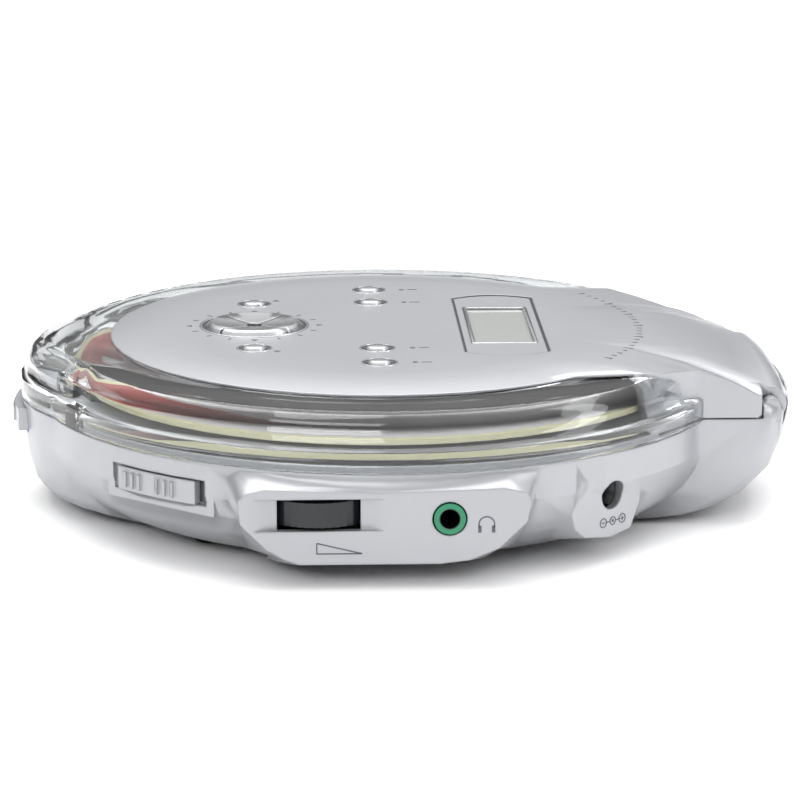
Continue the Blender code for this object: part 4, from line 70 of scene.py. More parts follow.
MM = 0.001

# %% [markdown]
# ## Where things are
#
# Places are measured from the spindle's axis, and heights from the seam between body and lid. Both
# come from the disc, which lies 3 mm above the seam. Two side faces carry printed marks: the
# control pod looks straight to the front, and the inlet's pod is turned 48 degrees from +X.

# %% datum
DISC_RISE = 3.0 * MM


def middle_of(name):
    """The middle of a solid in plan, as a point on the table."""
    low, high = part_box(name)
    return Vector(((low.x + high.x) / 2, (low.y + high.y) / 2, 0.0))


SPINDLE = middle_of("compact_disc")
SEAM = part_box("compact_disc")[0].z - DISC_RISE
PLATE_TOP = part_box("lid_top_plate")[1].z
PAD = SPINDLE + Vector((-25.0 * MM, 0.0, 0.0))
FRONT = -math.pi / 2
INLET = math.radians(-48.0)
print("spindle", SPINDLE[:], "seam", round(SEAM, 5), "plate", round(PLATE_TOP, 5))

# %% [markdown]
# ## Colours and nodes
#
# Paint chips are named in sRGB, but Blender mixes light in linear values, so one function turns a
# hex code into linear. A second small function adds any shader node with its settings and links,
# which keeps each material a short list of steps.

# %% colour and node helpers
def colour(code):
    parts = [int(code[i:i + 2], 16) / 255 for i in (0, 2, 4)]
    return [c / 12.92 if c <= 0.04045 else ((c + 0.055) / 1.055) ** 2.4 for c in parts] + [1.0]


def node(tree, kind, settings=None, inputs=None):
    """Add a node; an input given as a socket is linked, anything else is set."""
    made = tree.nodes.new(kind)
    for key, value in (settings or {}).items():
        setattr(made, key, value)
    for key, value in (inputs or {}).items():
        if isinstance(value, bpy.types.NodeSocket):
            tree.links.new(value, made.inputs[key])
        else:
            made.inputs[key].default_value = value
    return made


def start_material(name):
    mat = bpy.data.materials.new(name)
    mat.use_nodes = True
    tree = mat.node_tree
    shader = tree.nodes["Principled BSDF"]
    place = node(tree, "ShaderNodeTexCoord").outputs["Object"]
    return mat, tree, shader, place


print("helpers ready")

# %% [markdown]
# ## Silver lacquer on moulded ABS
#
# The bowl, the plate and the keys are ABS, sprayed with a silver lacquer whose metal flake is
# about 0.05 mm. The flake is too fine to show, so it is drawn at 0.25 mm: a noise that shifts the
# roughness and the normal a little. Metallic stays below one, because a lacquer is part pigment,
# and a weak clear coat gives the second, sharper highlight.

# %% silver lacquer
FLAKE, CLOUD = 0.25 * MM, 30 * MM
FLAKE_DEPTH, EDGE_RADIUS = 0.02 * MM, 0.5 * MM


def silver_lacquer(name, code, rough, flake=0.12, metal=0.55, coat=0.15):
    mat, tree, shader, place = start_material(name)
    grain = node(tree, "ShaderNodeTexNoise", None, {"Vector": place, "Scale": 1 / FLAKE,
                                                    "Detail": 2.0})
    cloud = node(tree, "ShaderNodeTexNoise", None, {"Vector": place, "Scale": 1 / CLOUD,
                                                    "Detail": 1.0})
    dark = [c * 0.90 for c in colour(code)[:3]] + [1.0]
    tint = node(tree, "ShaderNodeMix", {"data_type": "RGBA"},
                {"Factor": cloud.outputs["Fac"], "A": dark, "B": colour(code)})
    spread = node(tree, "ShaderNodeMapRange", None,
                  {"Value": grain.outputs["Fac"], "To Min": rough - 0.05, "To Max": rough + 0.07})
    soft = node(tree, "ShaderNodeBevel", {"samples": 6}, {"Radius": EDGE_RADIUS})
    bump = node(tree, "ShaderNodeBump", None, {"Strength": flake, "Distance": FLAKE_DEPTH,
                                               "Height": grain.outputs["Fac"],
                                               "Normal": soft.outputs["Normal"]})
    tree.links.new(tint.outputs["Result"], shader.inputs["Base Color"])
    tree.links.new(spread.outputs["Result"], shader.inputs["Roughness"])
    tree.links.new(bump.outputs["Normal"], shader.inputs["Normal"])
    shader.inputs["Metallic"].default_value = metal
    shader.inputs["Coat Weight"].default_value = coat
    shader.inputs["Coat Roughness"].default_value = 0.12
    return mat


body_lacquer = silver_lacquer("silver lacquer on ABS, body", "A6A7AB", 0.38)
plate_lacquer = silver_lacquer("silver lacquer on ABS, lid plate", "A9AAAE", 0.34)
key_lacquer = silver_lacquer("silver lacquer on ABS, keys", "B4B5B8", 0.24, 0.05, 0.8, 0.3)
print("lacquers", body_lacquer.name, plate_lacquer.name, key_lacquer.name)

# %% [markdown]
# ## Clear acrylic
#
# The lid's ring is polished PMMA, IOR 1.49. Mould flow leaves it very slightly wavy, so a broad,
# weak bump bends the reflections, and a faint grey keeps the thick edges from looking like air.

# %% clear acrylic
WAVE, WAVE_DEPTH = 22 * MM, 0.2 * MM


def acrylic(name, code):
    mat, tree, shader, place = start_material(name)
    flow = node(tree, "ShaderNodeTexNoise", None, {"Vector": place, "Scale": 1 / WAVE,
                                                   "Detail": 0.0})
    bump = node(tree, "ShaderNodeBump", None, {"Strength": 0.05, "Distance": WAVE_DEPTH,
                                               "Height": flow.outputs["Fac"]})
    tree.links.new(bump.outputs["Normal"], shader.inputs["Normal"])
    shader.inputs["Base Color"].default_value = colour(code)
    shader.inputs["Roughness"].default_value = 0.02
    shader.inputs["IOR"].default_value = 1.49
    shader.inputs["Transmission Weight"].default_value = 1.0
    return mat


clear_pmma = acrylic("polished PMMA", "F4F6F7")
print("clear", clear_pmma.name)

# %% [markdown]
# ## Moulded plastics, rubber and steel
#
# Plain moulded parts share one recipe: a base colour with a little variation, a typical roughness
# and a fine spark-eroded grain about 0.2 mm across, drawn at 0.3 mm.

# %% moulded plastics
GRAIN_DEPTH = 0.03 * MM


def moulded(name, code, rough, grain_mm=0.3, bump_strength=0.15, metal=0.0):
    mat, tree, shader, place = start_material(name)
    grain = node(tree, "ShaderNodeTexNoise", None, {"Vector": place, "Scale": 1 / (grain_mm * MM),
                                                    "Detail": 2.0})
    light = [min(c * 1.12, 1.0) for c in colour(code)[:3]] + [1.0]
    tint = node(tree, "ShaderNodeMix", {"data_type": "RGBA"},
                {"Factor": grain.outputs["Fac"], "A": colour(code), "B": light})
    bump = node(tree, "ShaderNodeBump", None, {"Strength": bump_strength, "Distance": GRAIN_DEPTH,
                                               "Height": grain.outputs["Fac"]})
    tree.links.new(tint.outputs["Result"], shader.inputs["Base Color"])
    tree.links.new(bump.outputs["Normal"], shader.inputs["Normal"])
    shader.inputs["Roughness"].default_value = rough
    shader.inputs["Metallic"].default_value = metal
    return mat


black_abs = moulded("black ABS", "15171C", 0.38)
grey_abs = moulded("grey ABS, disc tray", "B9BBBE", 0.42)
inner_grey = moulded("white-grey ABS, inner lid cover", "C9CACC", 0.45)
rubber = moulded("black rubber", "1E1F21", 0.85, 0.5, 0.3)
steel = moulded("plated steel", "C2C4C8", 0.28, 0.4, 0.08, 1.0)
ink = moulded("grey screen ink", "4E5158", 0.55, 0.2, 0.05)
# Painted shade: a black sheet laid in the gaps round the display panel, the keys and the pad,
# where the dark is only shade.
painted_gap_shade = moulded("black sheet for painted gap shade", "1B1D22", 0.5, 0.3, 0.05)
jacket = moulded("foil cell jacket", "39424D", 0.32, 0.6, 0.05, 0.3)
print("plastics ready")

# %% [markdown]
# ## The green jack
#
# A 3.5 mm socket: a green nylon collar round a bore. The collar and the bore are one solid, so
# the material turns black, a painted shade, within 1.95 mm of the solid's own axis, which runs
# along Y.

# %% green nylon with painted bore shade
BORE_SHADE_RADIUS = 1.95 * MM


def green_collar_and_bore_shade():
    mat, tree, shader, place = start_material("green nylon collar with painted bore shade")
    low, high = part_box("headphone_jack")
    axis_x, axis_z = (low.x + high.x) / 2, (low.z + high.z) / 2
    parts = node(tree, "ShaderNodeSeparateXYZ", None, {"Vector": place})
    flat = node(tree, "ShaderNodeCombineXYZ", None, {"X": parts.outputs["X"],
                                                     "Z": parts.outputs["Z"]})
    reach = node(tree, "ShaderNodeVectorMath", {"operation": "DISTANCE"},
                 {0: flat.outputs["Vector"], 1: (axis_x, 0.0, axis_z)})
    inside = node(tree, "ShaderNodeMath", {"operation": "LESS_THAN"},
                  {0: reach.outputs["Value"], 1: BORE_SHADE_RADIUS})
    # Painted shade: the bore is drawn black, as a deep hole looks.
    tint = node(tree, "ShaderNodeMix", {"data_type": "RGBA"},
                {"Factor": inside.outputs["Value"], "A": colour("1F7A56"), "B": colour("08090A")})
    tree.links.new(tint.outputs["Result"], shader.inputs["Base Color"])
    shader.inputs["Roughness"].default_value = 0.4
    print("jack axis", round(axis_x, 5), round(axis_z, 5))
    return mat


green_nylon_and_bore_shade = green_collar_and_bore_shade()

# %% [markdown]
# ## Circuit board, display pane and lens
#
# The board's mask is a brick pattern of 6 mm, whose mortar stands for the copper tracks. The pane
# is a blank display with a faint cell pattern of 0.8 mm, and the lens is acrylic with a blue tint.

# %% board, pane and lens
TRACK, PIXEL = 6 * MM, 0.8 * MM


def solder_mask():
    mat, tree, shader, place = start_material("green solder mask over copper tracks")
    tracks = node(tree, "ShaderNodeTexBrick", {"offset": 0.4},
                  {"Vector": place, "Scale": 1 / TRACK, "Color1": colour("1A5636"),
                   "Color2": colour("1F6440"), "Mortar": colour("3E8A55"), "Mortar Size": 0.03})
    tree.links.new(tracks.outputs["Color"], shader.inputs["Base Color"])
    shader.inputs["Roughness"].default_value = 0.42
    return mat


def display_pane():
    """A blank liquid crystal pane: warm grey cells behind polished glass."""
    mat, tree, shader, place = start_material("liquid crystal pane")
    cell = node(tree, "ShaderNodeTexVoronoi", {"distance": "CHEBYCHEV"},
                {"Vector": place, "Scale": 1 / PIXEL})
    tint = node(tree, "ShaderNodeMix", {"data_type": "RGBA"},
                {"Factor": cell.outputs["Distance"], "A": colour("A9ABA8"), "B": colour("A3A5A2")})
    tree.links.new(tint.outputs["Result"], shader.inputs["Base Color"])
    shader.inputs["Roughness"].default_value = 0.12
    shader.inputs["Coat Weight"].default_value = 1.0
    shader.inputs["Coat Roughness"].default_value = 0.03
    return mat


board_green = solder_mask()
pane_grey = display_pane()
lens_glass = acrylic("coated lens glass", "9FB4E0")
print("board, pane and lens ready")

# %% [markdown]
# ## A printed disc of our own
#
# The disc's label is a plain design: a warm red field and a grey-white field that meet in a broad
# swirl. Outside the print, and on every face that doesn't look up, the disc is bare polycarbonate,
# which looks cream. The pattern is worked out from the angle and the radius round the spindle.

# %% disc print
PRINT_RADIUS = 58.6 * MM
SWIRL = 38.0  # radians of turn for each metre from the spindle


def disc_print():
    mat, tree, shader, place = start_material("offset print on polycarbonate")
    centred = node(tree, "ShaderNodeVectorMath", {"operation": "SUBTRACT"},
                   {0: place, 1: (SPINDLE.x, SPINDLE.y, 0.0)}).outputs["Vector"]
    parts = node(tree, "ShaderNodeSeparateXYZ", None, {"Vector": centred})
    flat = node(tree, "ShaderNodeCombineXYZ", None, {"X": parts.outputs["X"],
                                                     "Y": parts.outputs["Y"]})
    radius = node(tree, "ShaderNodeVectorMath", {"operation": "LENGTH"},
                  {0: flat.outputs["Vector"]}).outputs["Value"]
    angle = node(tree, "ShaderNodeMath", {"operation": "ARCTAN2"},
                 {0: parts.outputs["Y"], 1: parts.outputs["X"]}).outputs["Value"]
    swirl = node(tree, "ShaderNodeMath", {"operation": "MULTIPLY"}, {0: radius, 1: SWIRL})
    turn = node(tree, "ShaderNodeMath", {"operation": "ADD"},
                {0: angle, 1: swirl.outputs["Value"]})
    wave = node(tree, "ShaderNodeMath", {"operation": "MULTIPLY_ADD"},
                {0: turn.outputs["Value"], 1: 1.0, 2: 0.35})
    lobe = node(tree, "ShaderNodeMath", {"operation": "SINE"}, {0: wave.outputs["Value"]})
    field = node(tree, "ShaderNodeMapRange", None, {"Value": lobe.outputs["Value"],
                                                    "From Min": -0.03, "From Max": 0.03})
    print_mix = node(tree, "ShaderNodeMix", {"data_type": "RGBA"},
                     {"Factor": field.outputs["Result"], "A": colour("B9584E"),
                      "B": colour("D9D6D4")})
    bare_out = node(tree, "ShaderNodeMath", {"operation": "GREATER_THAN"},
                    {0: radius, 1: PRINT_RADIUS})
    face = node(tree, "ShaderNodeSeparateXYZ", None,
                {"Vector": node(tree, "ShaderNodeNewGeometry").outputs["Normal"]})
    level = node(tree, "ShaderNodeMath", {"operation": "LESS_THAN"},
                 {0: face.outputs["Z"], 1: 0.5})
    bare = node(tree, "ShaderNodeMath", {"operation": "MAXIMUM"},
                {0: bare_out.outputs["Value"], 1: level.outputs["Value"]})
    tint = node(tree, "ShaderNodeMix", {"data_type": "RGBA"},
                {"Factor": bare.outputs["Value"], "A": print_mix.outputs["Result"],
                 "B": colour("E2DDB4")})
    tree.links.new(tint.outputs["Result"], shader.inputs["Base Color"])
    shader.inputs["Roughness"].default_value = 0.16
    shader.inputs["Coat Weight"].default_value = 0.6
    return mat


disc_label = disc_print()
print("disc print", disc_label.name)

# %% [markdown]
# ## Smooth copies of the solids
#
# The solids are loose triangles. A merged copy can be shaded smoothly, so that 60 facets read as a
# true curve while edges sharper than 32 degrees stay crisp. Each copy replaces its solid and rides
# on the same body.

# %% smooth copies
WELD = 0.001 * MM
body_of_node = {name: obj["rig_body"] for name, obj in frame["nodes"].items()}


def only(obj):
    """Deselect everything, then select and activate one object."""
    if bpy.context.object and bpy.context.object.mode != "OBJECT":
        bpy.ops.object.mode_set(mode="OBJECT")
    bpy.ops.object.select_all(action="DESELECT")
    obj.hide_set(False)
    obj.select_set(True)
    bpy.context.view_layer.objects.active = obj


def smooth_copy(solid_name, mat, angle=32.0):
    source = frame["nodes"][solid_name]
    piece = bpy.data.objects.new(solid_name + "_smooth", source.data.copy())
    bpy.context.scene.collection.objects.link(piece)
    piece.data.materials.clear()
    piece.data.materials.append(mat)
    only(piece)
    bpy.ops.object.mode_set(mode="EDIT")
    bpy.ops.mesh.select_all(action="SELECT")
    bpy.ops.mesh.remove_doubles(threshold=WELD)
    bpy.ops.mesh.dissolve_limited(angle_limit=math.radians(0.5))
    bpy.ops.object.mode_set(mode="OBJECT")
    bpy.ops.object.shade_smooth_by_angle(angle=math.radians(angle))
    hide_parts(solid_name)
    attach(piece, body_of_node[solid_name])
    return piece


finishes = {
    "bottom_housing": body_lacquer, "battery_door": body_lacquer, "mode_slider": body_lacquer,
    "open_button": body_lacquer, "lid_top_plate": plate_lacquer, "display_bezel": plate_lacquer,
    "lid_clear_cover": clear_pmma, "disc_tray": grey_abs, "lid_inner_cover": inner_grey,
    "latch_claw": grey_abs, "volume_wheel": black_abs, "dc_inlet": black_abs,
    "turntable_hub": black_abs, "pickup_sled": black_abs, "lens_carrier": black_abs,
    "pickup_lens": lens_glass, "headphone_jack": green_nylon_and_bore_shade, "drive_chassis": steel,
    "spindle_motor": steel, "sled_motor": steel, "guide_rod": steel, "lead_screw": steel,
    "compact_disc": disc_label, "battery_cell_front": jacket, "battery_cell_rear": jacket,
    "volume_pot": steel, "mode_switch": steel, "cell_contact_near": steel,
    "cell_contact_far": steel, "main_board": board_green, "lid_board": board_green,
    "key_mat": rubber, "lcd_module": pane_grey, "lid_switch": black_abs,
    "lid_switch_pin": black_abs, "hinge_pin_near": steel, "hinge_pin_far": steel,
}
for name in frame["nodes"]:
    if name.startswith(("key_", "pad_key")) and name != "key_mat":
        finishes[name] = key_lacquer
    elif name.startswith("rubber_foot"):
        finishes[name] = rubber
    elif name.startswith(("case_screw", "lid_screw")):
        finishes[name] = steel
dressed = {name: smooth_copy(name, mat) for name, mat in finishes.items()}
print("dressed", len(dressed), "of", len(frame["nodes"]))

# %% [markdown]
# ## Small flat marks
#
# The printed symbols are thin plates of ink. Each starts as a primitive at its size, is given its
# thickness, turned to the face that carries it and moved there, and its place is then applied, so
# that the object itself stays at the origin.

# %% helpers for marks
INK_PROUD = 0.06 * MM
UNIT_SQUARE = 0.5 * math.sqrt(2) * MM  # the radius of a square with sides of 1 mm


def settle(piece, body, mat):
    """Apply the piece's place, give it its ink and put it on a body."""
    only(piece)
    bpy.ops.object.transform_apply(location=True, rotation=True, scale=True)
    piece.data.materials.clear()
    piece.data.materials.append(mat)
    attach(piece, body)
    return piece


def plate_mark(name, sides, radius, stretch=(1.0, 1.0), turn=0.0, line=0.0):
    """A flat polygon lying in XY, or with a line width only its outline."""
    bpy.ops.object.select_all(action="DESELECT")
    bpy.ops.mesh.primitive_circle_add(vertices=sides, radius=radius, fill_type="NGON")
    piece = bpy.context.object
    piece.name = name
    bpy.ops.object.mode_set(mode="EDIT")
    bpy.ops.mesh.select_all(action="SELECT")
    bpy.ops.transform.rotate(value=-turn, orient_axis="Z", center_override=(0, 0, 0))
    bpy.ops.transform.resize(value=(stretch[0], stretch[1], 1.0), center_override=(0, 0, 0))
    if line > 0:
        bpy.ops.mesh.inset(thickness=line, depth=0.0)
        bpy.ops.mesh.delete(type="FACE")
        bpy.ops.mesh.select_all(action="SELECT")
    bpy.ops.mesh.extrude_region_move(TRANSFORM_OT_translate={"value": (0, 0, INK_PROUD * 2)})
    bpy.ops.mesh.select_all(action="SELECT")
    bpy.ops.mesh.normals_make_consistent(inside=False)
    bpy.ops.object.mode_set(mode="OBJECT")
    piece.location = (0, 0, 0)
    return piece


def bar_mark(name, size):
    """A flat bar, its length and width in millimetres."""
    return plate_mark(name, 4, UNIT_SQUARE, size, math.pi / 4)


def join_marks(name, marks):
    bpy.ops.object.select_all(action="DESELECT")
    for mark in marks:
        mark.select_set(True)
    bpy.context.view_layer.objects.active = marks[0]
    bpy.ops.object.join()
    piece = bpy.context.object
    piece.name = name
    return piece


print("mark helpers ready")

# %% [markdown]
# ## Marks on the side faces
#
# A mark that lies flat is tipped up, turned to the face's heading and moved out to the face. The
# wheel has a wedge of three bars under it, the jack a pair of headphones beside it, and the inlet
# three rings with their bars below it.

# %% marks on the control face
POD_REACH, INLET_REACH = 69.0 * MM, 67.0 * MM
WEDGE_LEFT, WEDGE_RIGHT, WEDGE_TOP, WEDGE_LOW = -13.9, -5.7, 12.3, 14.3
PHONES_ACROSS, BAND_DROP, CUP_DROP = 17.0, 9.0, 9.9
POLARITY_DROP = 13.2


def on_face(piece, across, drop, reach, heading):
    """Stand a flat mark on a side face that looks along a heading, at a place on it."""
    only(piece)
    bpy.ops.object.transform_apply(location=True, rotation=True, scale=True)
    piece.rotation_euler = (math.pi / 2, 0.0, heading + math.pi / 2)
    out = Vector((math.cos(heading), math.sin(heading), 0.0))
    side = Vector((-math.sin(heading), math.cos(heading), 0.0))
    piece.location = SPINDLE + out * (reach - INK_PROUD) + side * across
    piece.location.z = SEAM - drop
    bpy.ops.object.transform_apply(location=True, rotation=True, scale=True)
    return piece


wedge_parts = []
for x0, z0, x1, z1 in ((WEDGE_LEFT, WEDGE_TOP, WEDGE_RIGHT, WEDGE_LOW),
                       (WEDGE_RIGHT, WEDGE_LOW, WEDGE_LEFT, WEDGE_LOW),
                       (WEDGE_LEFT, WEDGE_LOW, WEDGE_LEFT, WEDGE_TOP)):
    bar = bar_mark("wedge_bar", (math.hypot(x1 - x0, z1 - z0), 0.24))
    only(bar)
    bar.rotation_euler = (0, 0, math.atan2(-(z1 - z0), x1 - x0))
    bpy.ops.object.transform_apply(location=True, rotation=True, scale=True)
    wedge_parts.append(on_face(bar, (x0 + x1) / 2 * MM, (z0 + z1) / 2 * MM, POD_REACH, FRONT))
settle(join_marks("volume_wedge", wedge_parts), "base", ink)

band = plate_mark("headphone_band", 28, 1.55 * MM, (1.0, 1.0), 0.0, 0.24 * MM)
only(band)
bpy.ops.object.mode_set(mode="EDIT")
bpy.ops.mesh.select_all(action="SELECT")
bpy.ops.mesh.bisect(plane_co=(0, -0.5 * MM, 0), plane_no=(0, 1, 0), clear_inner=True,
                    use_fill=True)
bpy.ops.object.mode_set(mode="OBJECT")
on_face(band, PHONES_ACROSS * MM, BAND_DROP * MM, POD_REACH, FRONT)
cups = [band]
for side in (-1, 1):
    cup = bar_mark("ear_cup", (0.62, 1.3))
    cups.append(on_face(cup, (PHONES_ACROSS + side * 1.25) * MM, CUP_DROP * MM, POD_REACH, FRONT))
settle(join_marks("headphone_symbol", cups), "base", ink)

polarity = []
for across, radius, line in ((-6.9, 0.95, 0.2), (-4.3, 0.85, 0.2), (-4.3, 0.3, 0.0),
                             (-1.7, 0.95, 0.2)):
    dot = plate_mark("ring", 20, radius * MM, (1.0, 1.0), 0.0, line * MM)
    polarity.append(on_face(dot, across * MM, POLARITY_DROP * MM, INLET_REACH, INLET))
for across, size in ((-5.6, (0.9, 0.2)), (-3.0, (0.9, 0.2)), (-6.9, (0.9, 0.18)),
                     (-1.7, (0.9, 0.18)), (-1.7, (0.18, 0.9))):
    polarity.append(on_face(bar_mark("bar", size), across * MM, POLARITY_DROP * MM, INLET_REACH,
                            INLET))
settle(join_marks("polarity_symbol", polarity), "base", ink)
print("face marks ready")

# %% [markdown]
# ## Marks on the lid
#
# A ray dropped on the plate finds its real height at a place, so that a mark lies on the surface
# also where the plate falls away. The keys have dots, dashes and triangles, the pad a dial of
# ticks and arrows, and the lobe a plain scale.

# %% marks on the lid
RAY_FROM = 0.06
SYMBOL_X, TRIANGLE_X, TRIANGLE_Y = 5.6, -20.6, 22.6
DIAL_TICKS, DIAL_RADIUS, ARROW_RADIUS = 16, 12.6, 12.8
SCALE_TICKS, SCALE_RADIUS, SCALE_SWEEP = 24, 51.5, 68


def on_lid(piece, x, y, turn=0.0):
    """Lay a flat mark on the lid's plate, on its real surface at that place."""
    plate = dressed["lid_top_plate"]
    hit, spot, _, _ = plate.ray_cast(Vector((SPINDLE.x + x * MM, SPINDLE.y + y * MM, RAY_FROM)),
                                     Vector((0, 0, -1)))
    height = spot.z if hit else PLATE_TOP
    piece.rotation_euler = (0, 0, turn)
    piece.location = (SPINDLE.x + x * MM, SPINDLE.y + y * MM, height - INK_PROUD)
    only(piece)
    bpy.ops.object.transform_apply(location=True, rotation=True, scale=True)
    return piece


lid_marks = []
for y, turn in ((TRIANGLE_Y, 0.0), (-TRIANGLE_Y, math.pi)):
    lid_marks.append(on_lid(plate_mark("triangle", 3, 0.85 * MM), TRIANGLE_X, y, turn))
for y in (32.5, 20.5, -20.5, -32.5):
    lid_marks.append(on_lid(plate_mark("dot", 16, 0.55 * MM), SYMBOL_X, y))
    lid_marks.append(on_lid(bar_mark("dash", (2.0, 0.3)), SYMBOL_X + 2.2, y))
pad_x = (PAD.x - SPINDLE.x) / MM
for i in range(DIAL_TICKS):
    angle = 2 * math.pi * i / DIAL_TICKS
    if i % 4:
        lid_marks.append(on_lid(bar_mark("tick", (1.2, 0.28)),
                                pad_x + DIAL_RADIUS * math.cos(angle),
                                DIAL_RADIUS * math.sin(angle), angle))
for direction in range(4):
    angle = math.pi / 2 * direction
    arrow = plate_mark("arrow", 3, 0.8 * MM)
    lid_marks.append(on_lid(arrow, pad_x + ARROW_RADIUS * math.cos(angle),
                            ARROW_RADIUS * math.sin(angle), angle - math.pi / 2))
settle(join_marks("lid_symbols", lid_marks), "lid", ink)

scale_marks = []
for i in range(SCALE_TICKS + 1):
    angle = math.radians(SCALE_SWEEP * (i / SCALE_TICKS - 0.5))
    tick = bar_mark("tick", (1.9, 0.32) if i % 4 == 0 else (1.1, 0.26))
    scale_marks.append(on_lid(tick, SCALE_RADIUS * math.cos(angle),
                              SCALE_RADIUS * math.sin(angle), angle))
settle(join_marks("tick_scale", scale_marks), "lid", ink)
print("lid marks ready")

# %% [markdown]
# ## The display's painted gap shade and frame
#
# A thin black ring of painted shade fills the gap round the display panel, and the pane sits in a
# bevelled silver frame. Both follow outlines that the solids already have: a filled circle is laid
# on the outline, inset to a ring, and given its depth.

# %% painted gap shade and frame
PANEL_X, PANEL_HALF_X, PANEL_HALF_Y, PANEL_BULGE = 23.8, 8.0, 24.0, 3.0
PANEL_STEPS, GAP_SHADE_GROW, PANE_GROW = 12, 0.28, 0.2 * MM


def outline_ring(name, points, width, low, high, body, mat, bevel=0.0):
    """A closed ring that runs round an outline, with its outer edge on it."""
    bpy.ops.object.select_all(action="DESELECT")
    bpy.ops.mesh.primitive_circle_add(vertices=len(points), fill_type="NGON", location=(0, 0, 0))
    piece = bpy.context.object
    piece.name = piece.data.name = name
    for corner, (x, y) in zip(piece.data.vertices, points):
        corner.co = (x, y, low)
    only(piece)
    bpy.ops.object.mode_set(mode="EDIT")
    bpy.ops.mesh.select_all(action="SELECT")
    bpy.ops.mesh.normals_make_consistent(inside=False)
    bpy.ops.mesh.inset(thickness=width, depth=0.0)
    bpy.ops.mesh.delete(type="FACE")
    bpy.ops.mesh.select_all(action="SELECT")
    bpy.ops.mesh.extrude_region_move(TRANSFORM_OT_translate={"value": (0, 0, high - low)})
    bpy.ops.mesh.select_all(action="SELECT")
    bpy.ops.mesh.normals_make_consistent(inside=False)
    bpy.ops.object.mode_set(mode="OBJECT")
    if bevel > 0:
        mod = piece.modifiers.new("soft edge", "BEVEL")
        mod.width = bevel
        mod.segments = 2
        bpy.ops.object.modifier_apply(modifier=mod.name)
    bpy.ops.object.shade_smooth_by_angle(angle=math.radians(35))
    return settle(piece, body, mat)


def panel_outline(grow):
    """The display panel in plan: straight long sides and gently arced ends."""
    half = PANEL_HALF_X + grow
    points = []
    for side in (1, -1):
        for i in range(PANEL_STEPS + 1):
            share = 1 - 2 * i / PANEL_STEPS
            bulge = PANEL_BULGE * (1 - share * share)
            points.append((SPINDLE.x + (PANEL_X + side * half * share) * MM,
                           SPINDLE.y + side * (PANEL_HALF_Y + bulge + grow) * MM))
    return points


# Painted shade: the dark in the gap round the panel is drawn as a black ring.
outline_ring("display_gap_shade", panel_outline(GAP_SHADE_GROW), 0.5 * MM, PLATE_TOP - 0.9 * MM,
             PLATE_TOP - 0.12 * MM, "lid", painted_gap_shade)
pane_low, pane_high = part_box("lcd_module")
left, right = pane_low.x - PANE_GROW, pane_high.x + PANE_GROW
near, far = pane_low.y - PANE_GROW, pane_high.y + PANE_GROW
pane_corners = [(left, near), (right, near), (right, far), (left, far)]
outline_ring("pane_frame", pane_corners, 0.7 * MM, PLATE_TOP - 0.58 * MM, PLATE_TOP - 0.1 * MM,
             "lid", key_lacquer, 0.12 * MM)
print("painted gap shade and frame ready")

# %% [markdown]
# ## Rings round the keys and the pad
#
# Each key stands in a black ring of painted shade, for the dark gap round it, with a bright collar
# round that, and so does the pad. A ring is a circle inset to a band and given its depth, and its
# place is that of the key's own solid.

# %% key rings
KEY_NODES = ("key_upper_left", "key_lower_left", "key_far_outer", "key_far_inner",
             "key_near_inner", "key_near_outer")
WELL_RADIUS, COLLAR_RADIUS = 3.15 * MM, 3.5 * MM
PAD_WELL_RADIUS, PAD_COLLAR_RADIUS = 10.35 * MM, 10.9 * MM
RING_LOW, WELL_HIGH = PLATE_TOP - 0.3 * MM, PLATE_TOP + 0.05 * MM


def circle_points(centre, radius, count=48):
    return [(centre.x + radius * math.cos(2 * math.pi * i / count),
             centre.y + radius * math.sin(2 * math.pi * i / count)) for i in range(count)]


for i, key in enumerate(KEY_NODES):
    centre = middle_of(key)
    # Painted shade: a black ring in the gap round each key and round the pad.
    outline_ring("key_well_%d" % (i + 1), circle_points(centre, WELL_RADIUS), 0.5 * MM,
                 RING_LOW, WELL_HIGH, "lid", painted_gap_shade)
    outline_ring("key_collar_%d" % (i + 1), circle_points(centre, COLLAR_RADIUS), 0.4 * MM,
                 RING_LOW, PLATE_TOP + 0.12 * MM, "lid", key_lacquer,
                 0.06 * MM)
outline_ring("pad_well_shade", circle_points(PAD, PAD_WELL_RADIUS, 96), 0.6 * MM, RING_LOW, WELL_HIGH,
             "lid", painted_gap_shade)
outline_ring("pad_collar", circle_points(PAD, PAD_COLLAR_RADIUS, 96), 0.6 * MM, RING_LOW,
             PLATE_TOP + 0.18 * MM, "lid", key_lacquer, 0.08 * MM)
print("key rings ready")

# %% [markdown]
# ## Floor and light
#
# A product shot has a white table that fades into a white wall, under broad soft light. The floor
# is a wide pale plane, and three area lamps give the long highlights on the clear ring. The world
# is dim near the horizon and bright overhead, as a lit ceiling.

# %% stage and lights
bpy.ops.object.select_all(action="DESELECT")
bpy.ops.mesh.primitive_plane_add(size=12.0, location=(0, 0, 0))
floor = bpy.context.object
floor.name = "floor"
floor_mat, floor_tree, floor_shader, floor_place = start_material("matt white table")
speck = node(floor_tree, "ShaderNodeTexNoise", None, {"Vector": floor_place, "Scale": 6.0})
floor_tint = node(floor_tree, "ShaderNodeMix", {"data_type": "RGBA"},
                  {"Factor": speck.outputs["Fac"], "A": colour("F6F6F6"), "B": colour("FAFAFA")})
floor_tree.links.new(floor_tint.outputs["Result"], floor_shader.inputs["Base Color"])
floor_shader.inputs["Roughness"].default_value = 0.5
floor.data.materials.append(floor_mat)


def lamp(name, place, size, power, aim=(0.0, 0.0, 0.02)):
    light = bpy.data.lights.new(name, "AREA")
    light.shape = "RECTANGLE"
    light.size, light.size_y = size
    light.energy = power
    obj = bpy.data.objects.new(name, light)
    bpy.context.scene.collection.objects.link(obj)
    obj.location = place
    obj.rotation_euler = (Vector(aim) - Vector(place)).to_track_quat("-Z", "Y").to_euler()


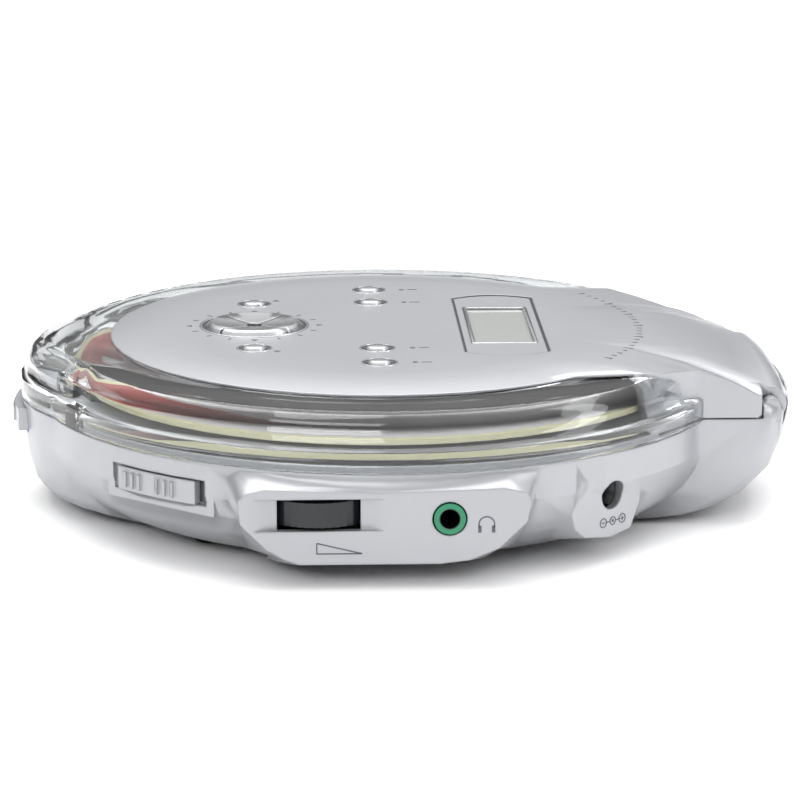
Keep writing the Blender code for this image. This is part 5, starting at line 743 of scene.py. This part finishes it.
lamp("overhead_softbox", (0.0, 0.25, 0.9), (1.2, 0.8), 12.0)
lamp("front_softbox", (-0.35, -0.9, 0.55), (0.7, 0.25), 3.0)
lamp("right_strip", (0.85, -0.25, 0.45), (0.2, 0.7), 2.0)
world = bpy.data.worlds.new("white studio")
bpy.context.scene.world = world
world.use_nodes = True
studio = world.node_tree
sky = node(studio, "ShaderNodeTexCoord").outputs["Generated"]
height = node(studio, "ShaderNodeSeparateXYZ", None, {"Vector": sky}).outputs["Z"]
ceiling = node(studio, "ShaderNodeMapRange", {"interpolation_type": "SMOOTHSTEP"},
               {"Value": height, "From Min": 0.12, "From Max": 0.62, "To Min": 0.10,
                "To Max": 1.25})
backdrop = node(studio, "ShaderNodeCombineColor", None,
                {"Red": ceiling.outputs["Result"], "Green": ceiling.outputs["Result"],
                 "Blue": ceiling.outputs["Result"]})
studio.links.new(backdrop.outputs["Color"], studio.nodes["Background"].inputs["Color"])
studio.nodes["Background"].inputs["Strength"].default_value = 1.0
print("stage ready")

# %% [markdown]
# ## Camera
#
# A long lens, 0.7 m away, looks down on the player from 13.8 degrees over the table. The shift
# places the player in the picture without turning the camera.

# %% camera
def place_camera(azimuth, elevation, distance, lens, shift):
    """A camera at an azimuth and elevation round the spindle at the seam, in the photo's frame."""
    a, e = math.radians(azimuth), math.radians(elevation)
    back = Vector((math.sin(a) * math.cos(e), -math.cos(a) * math.cos(e), math.sin(e)))
    data = bpy.data.cameras.new("product lens")
    data.lens = lens
    data.sensor_width = 36.0
    data.shift_x, data.shift_y = shift
    data.clip_start, data.clip_end = 0.01, 50.0
    obj = bpy.data.objects.new("camera", data)
    bpy.context.scene.collection.objects.link(obj)
    target = Vector((SPINDLE.x, SPINDLE.y, SEAM))
    obj.location = target + back * distance
    obj.rotation_euler = (-back).to_track_quat("-Z", "Y").to_euler()
    bpy.context.scene.camera = obj
    return obj


camera = place_camera(azimuth=-2.0, elevation=13.8, distance=0.700, lens=157.5,
                      shift=(0.025, -0.0169))
bpy.context.scene.view_settings.view_transform = "Standard"
bpy.context.view_layer.update()
print("camera", camera.location[:])
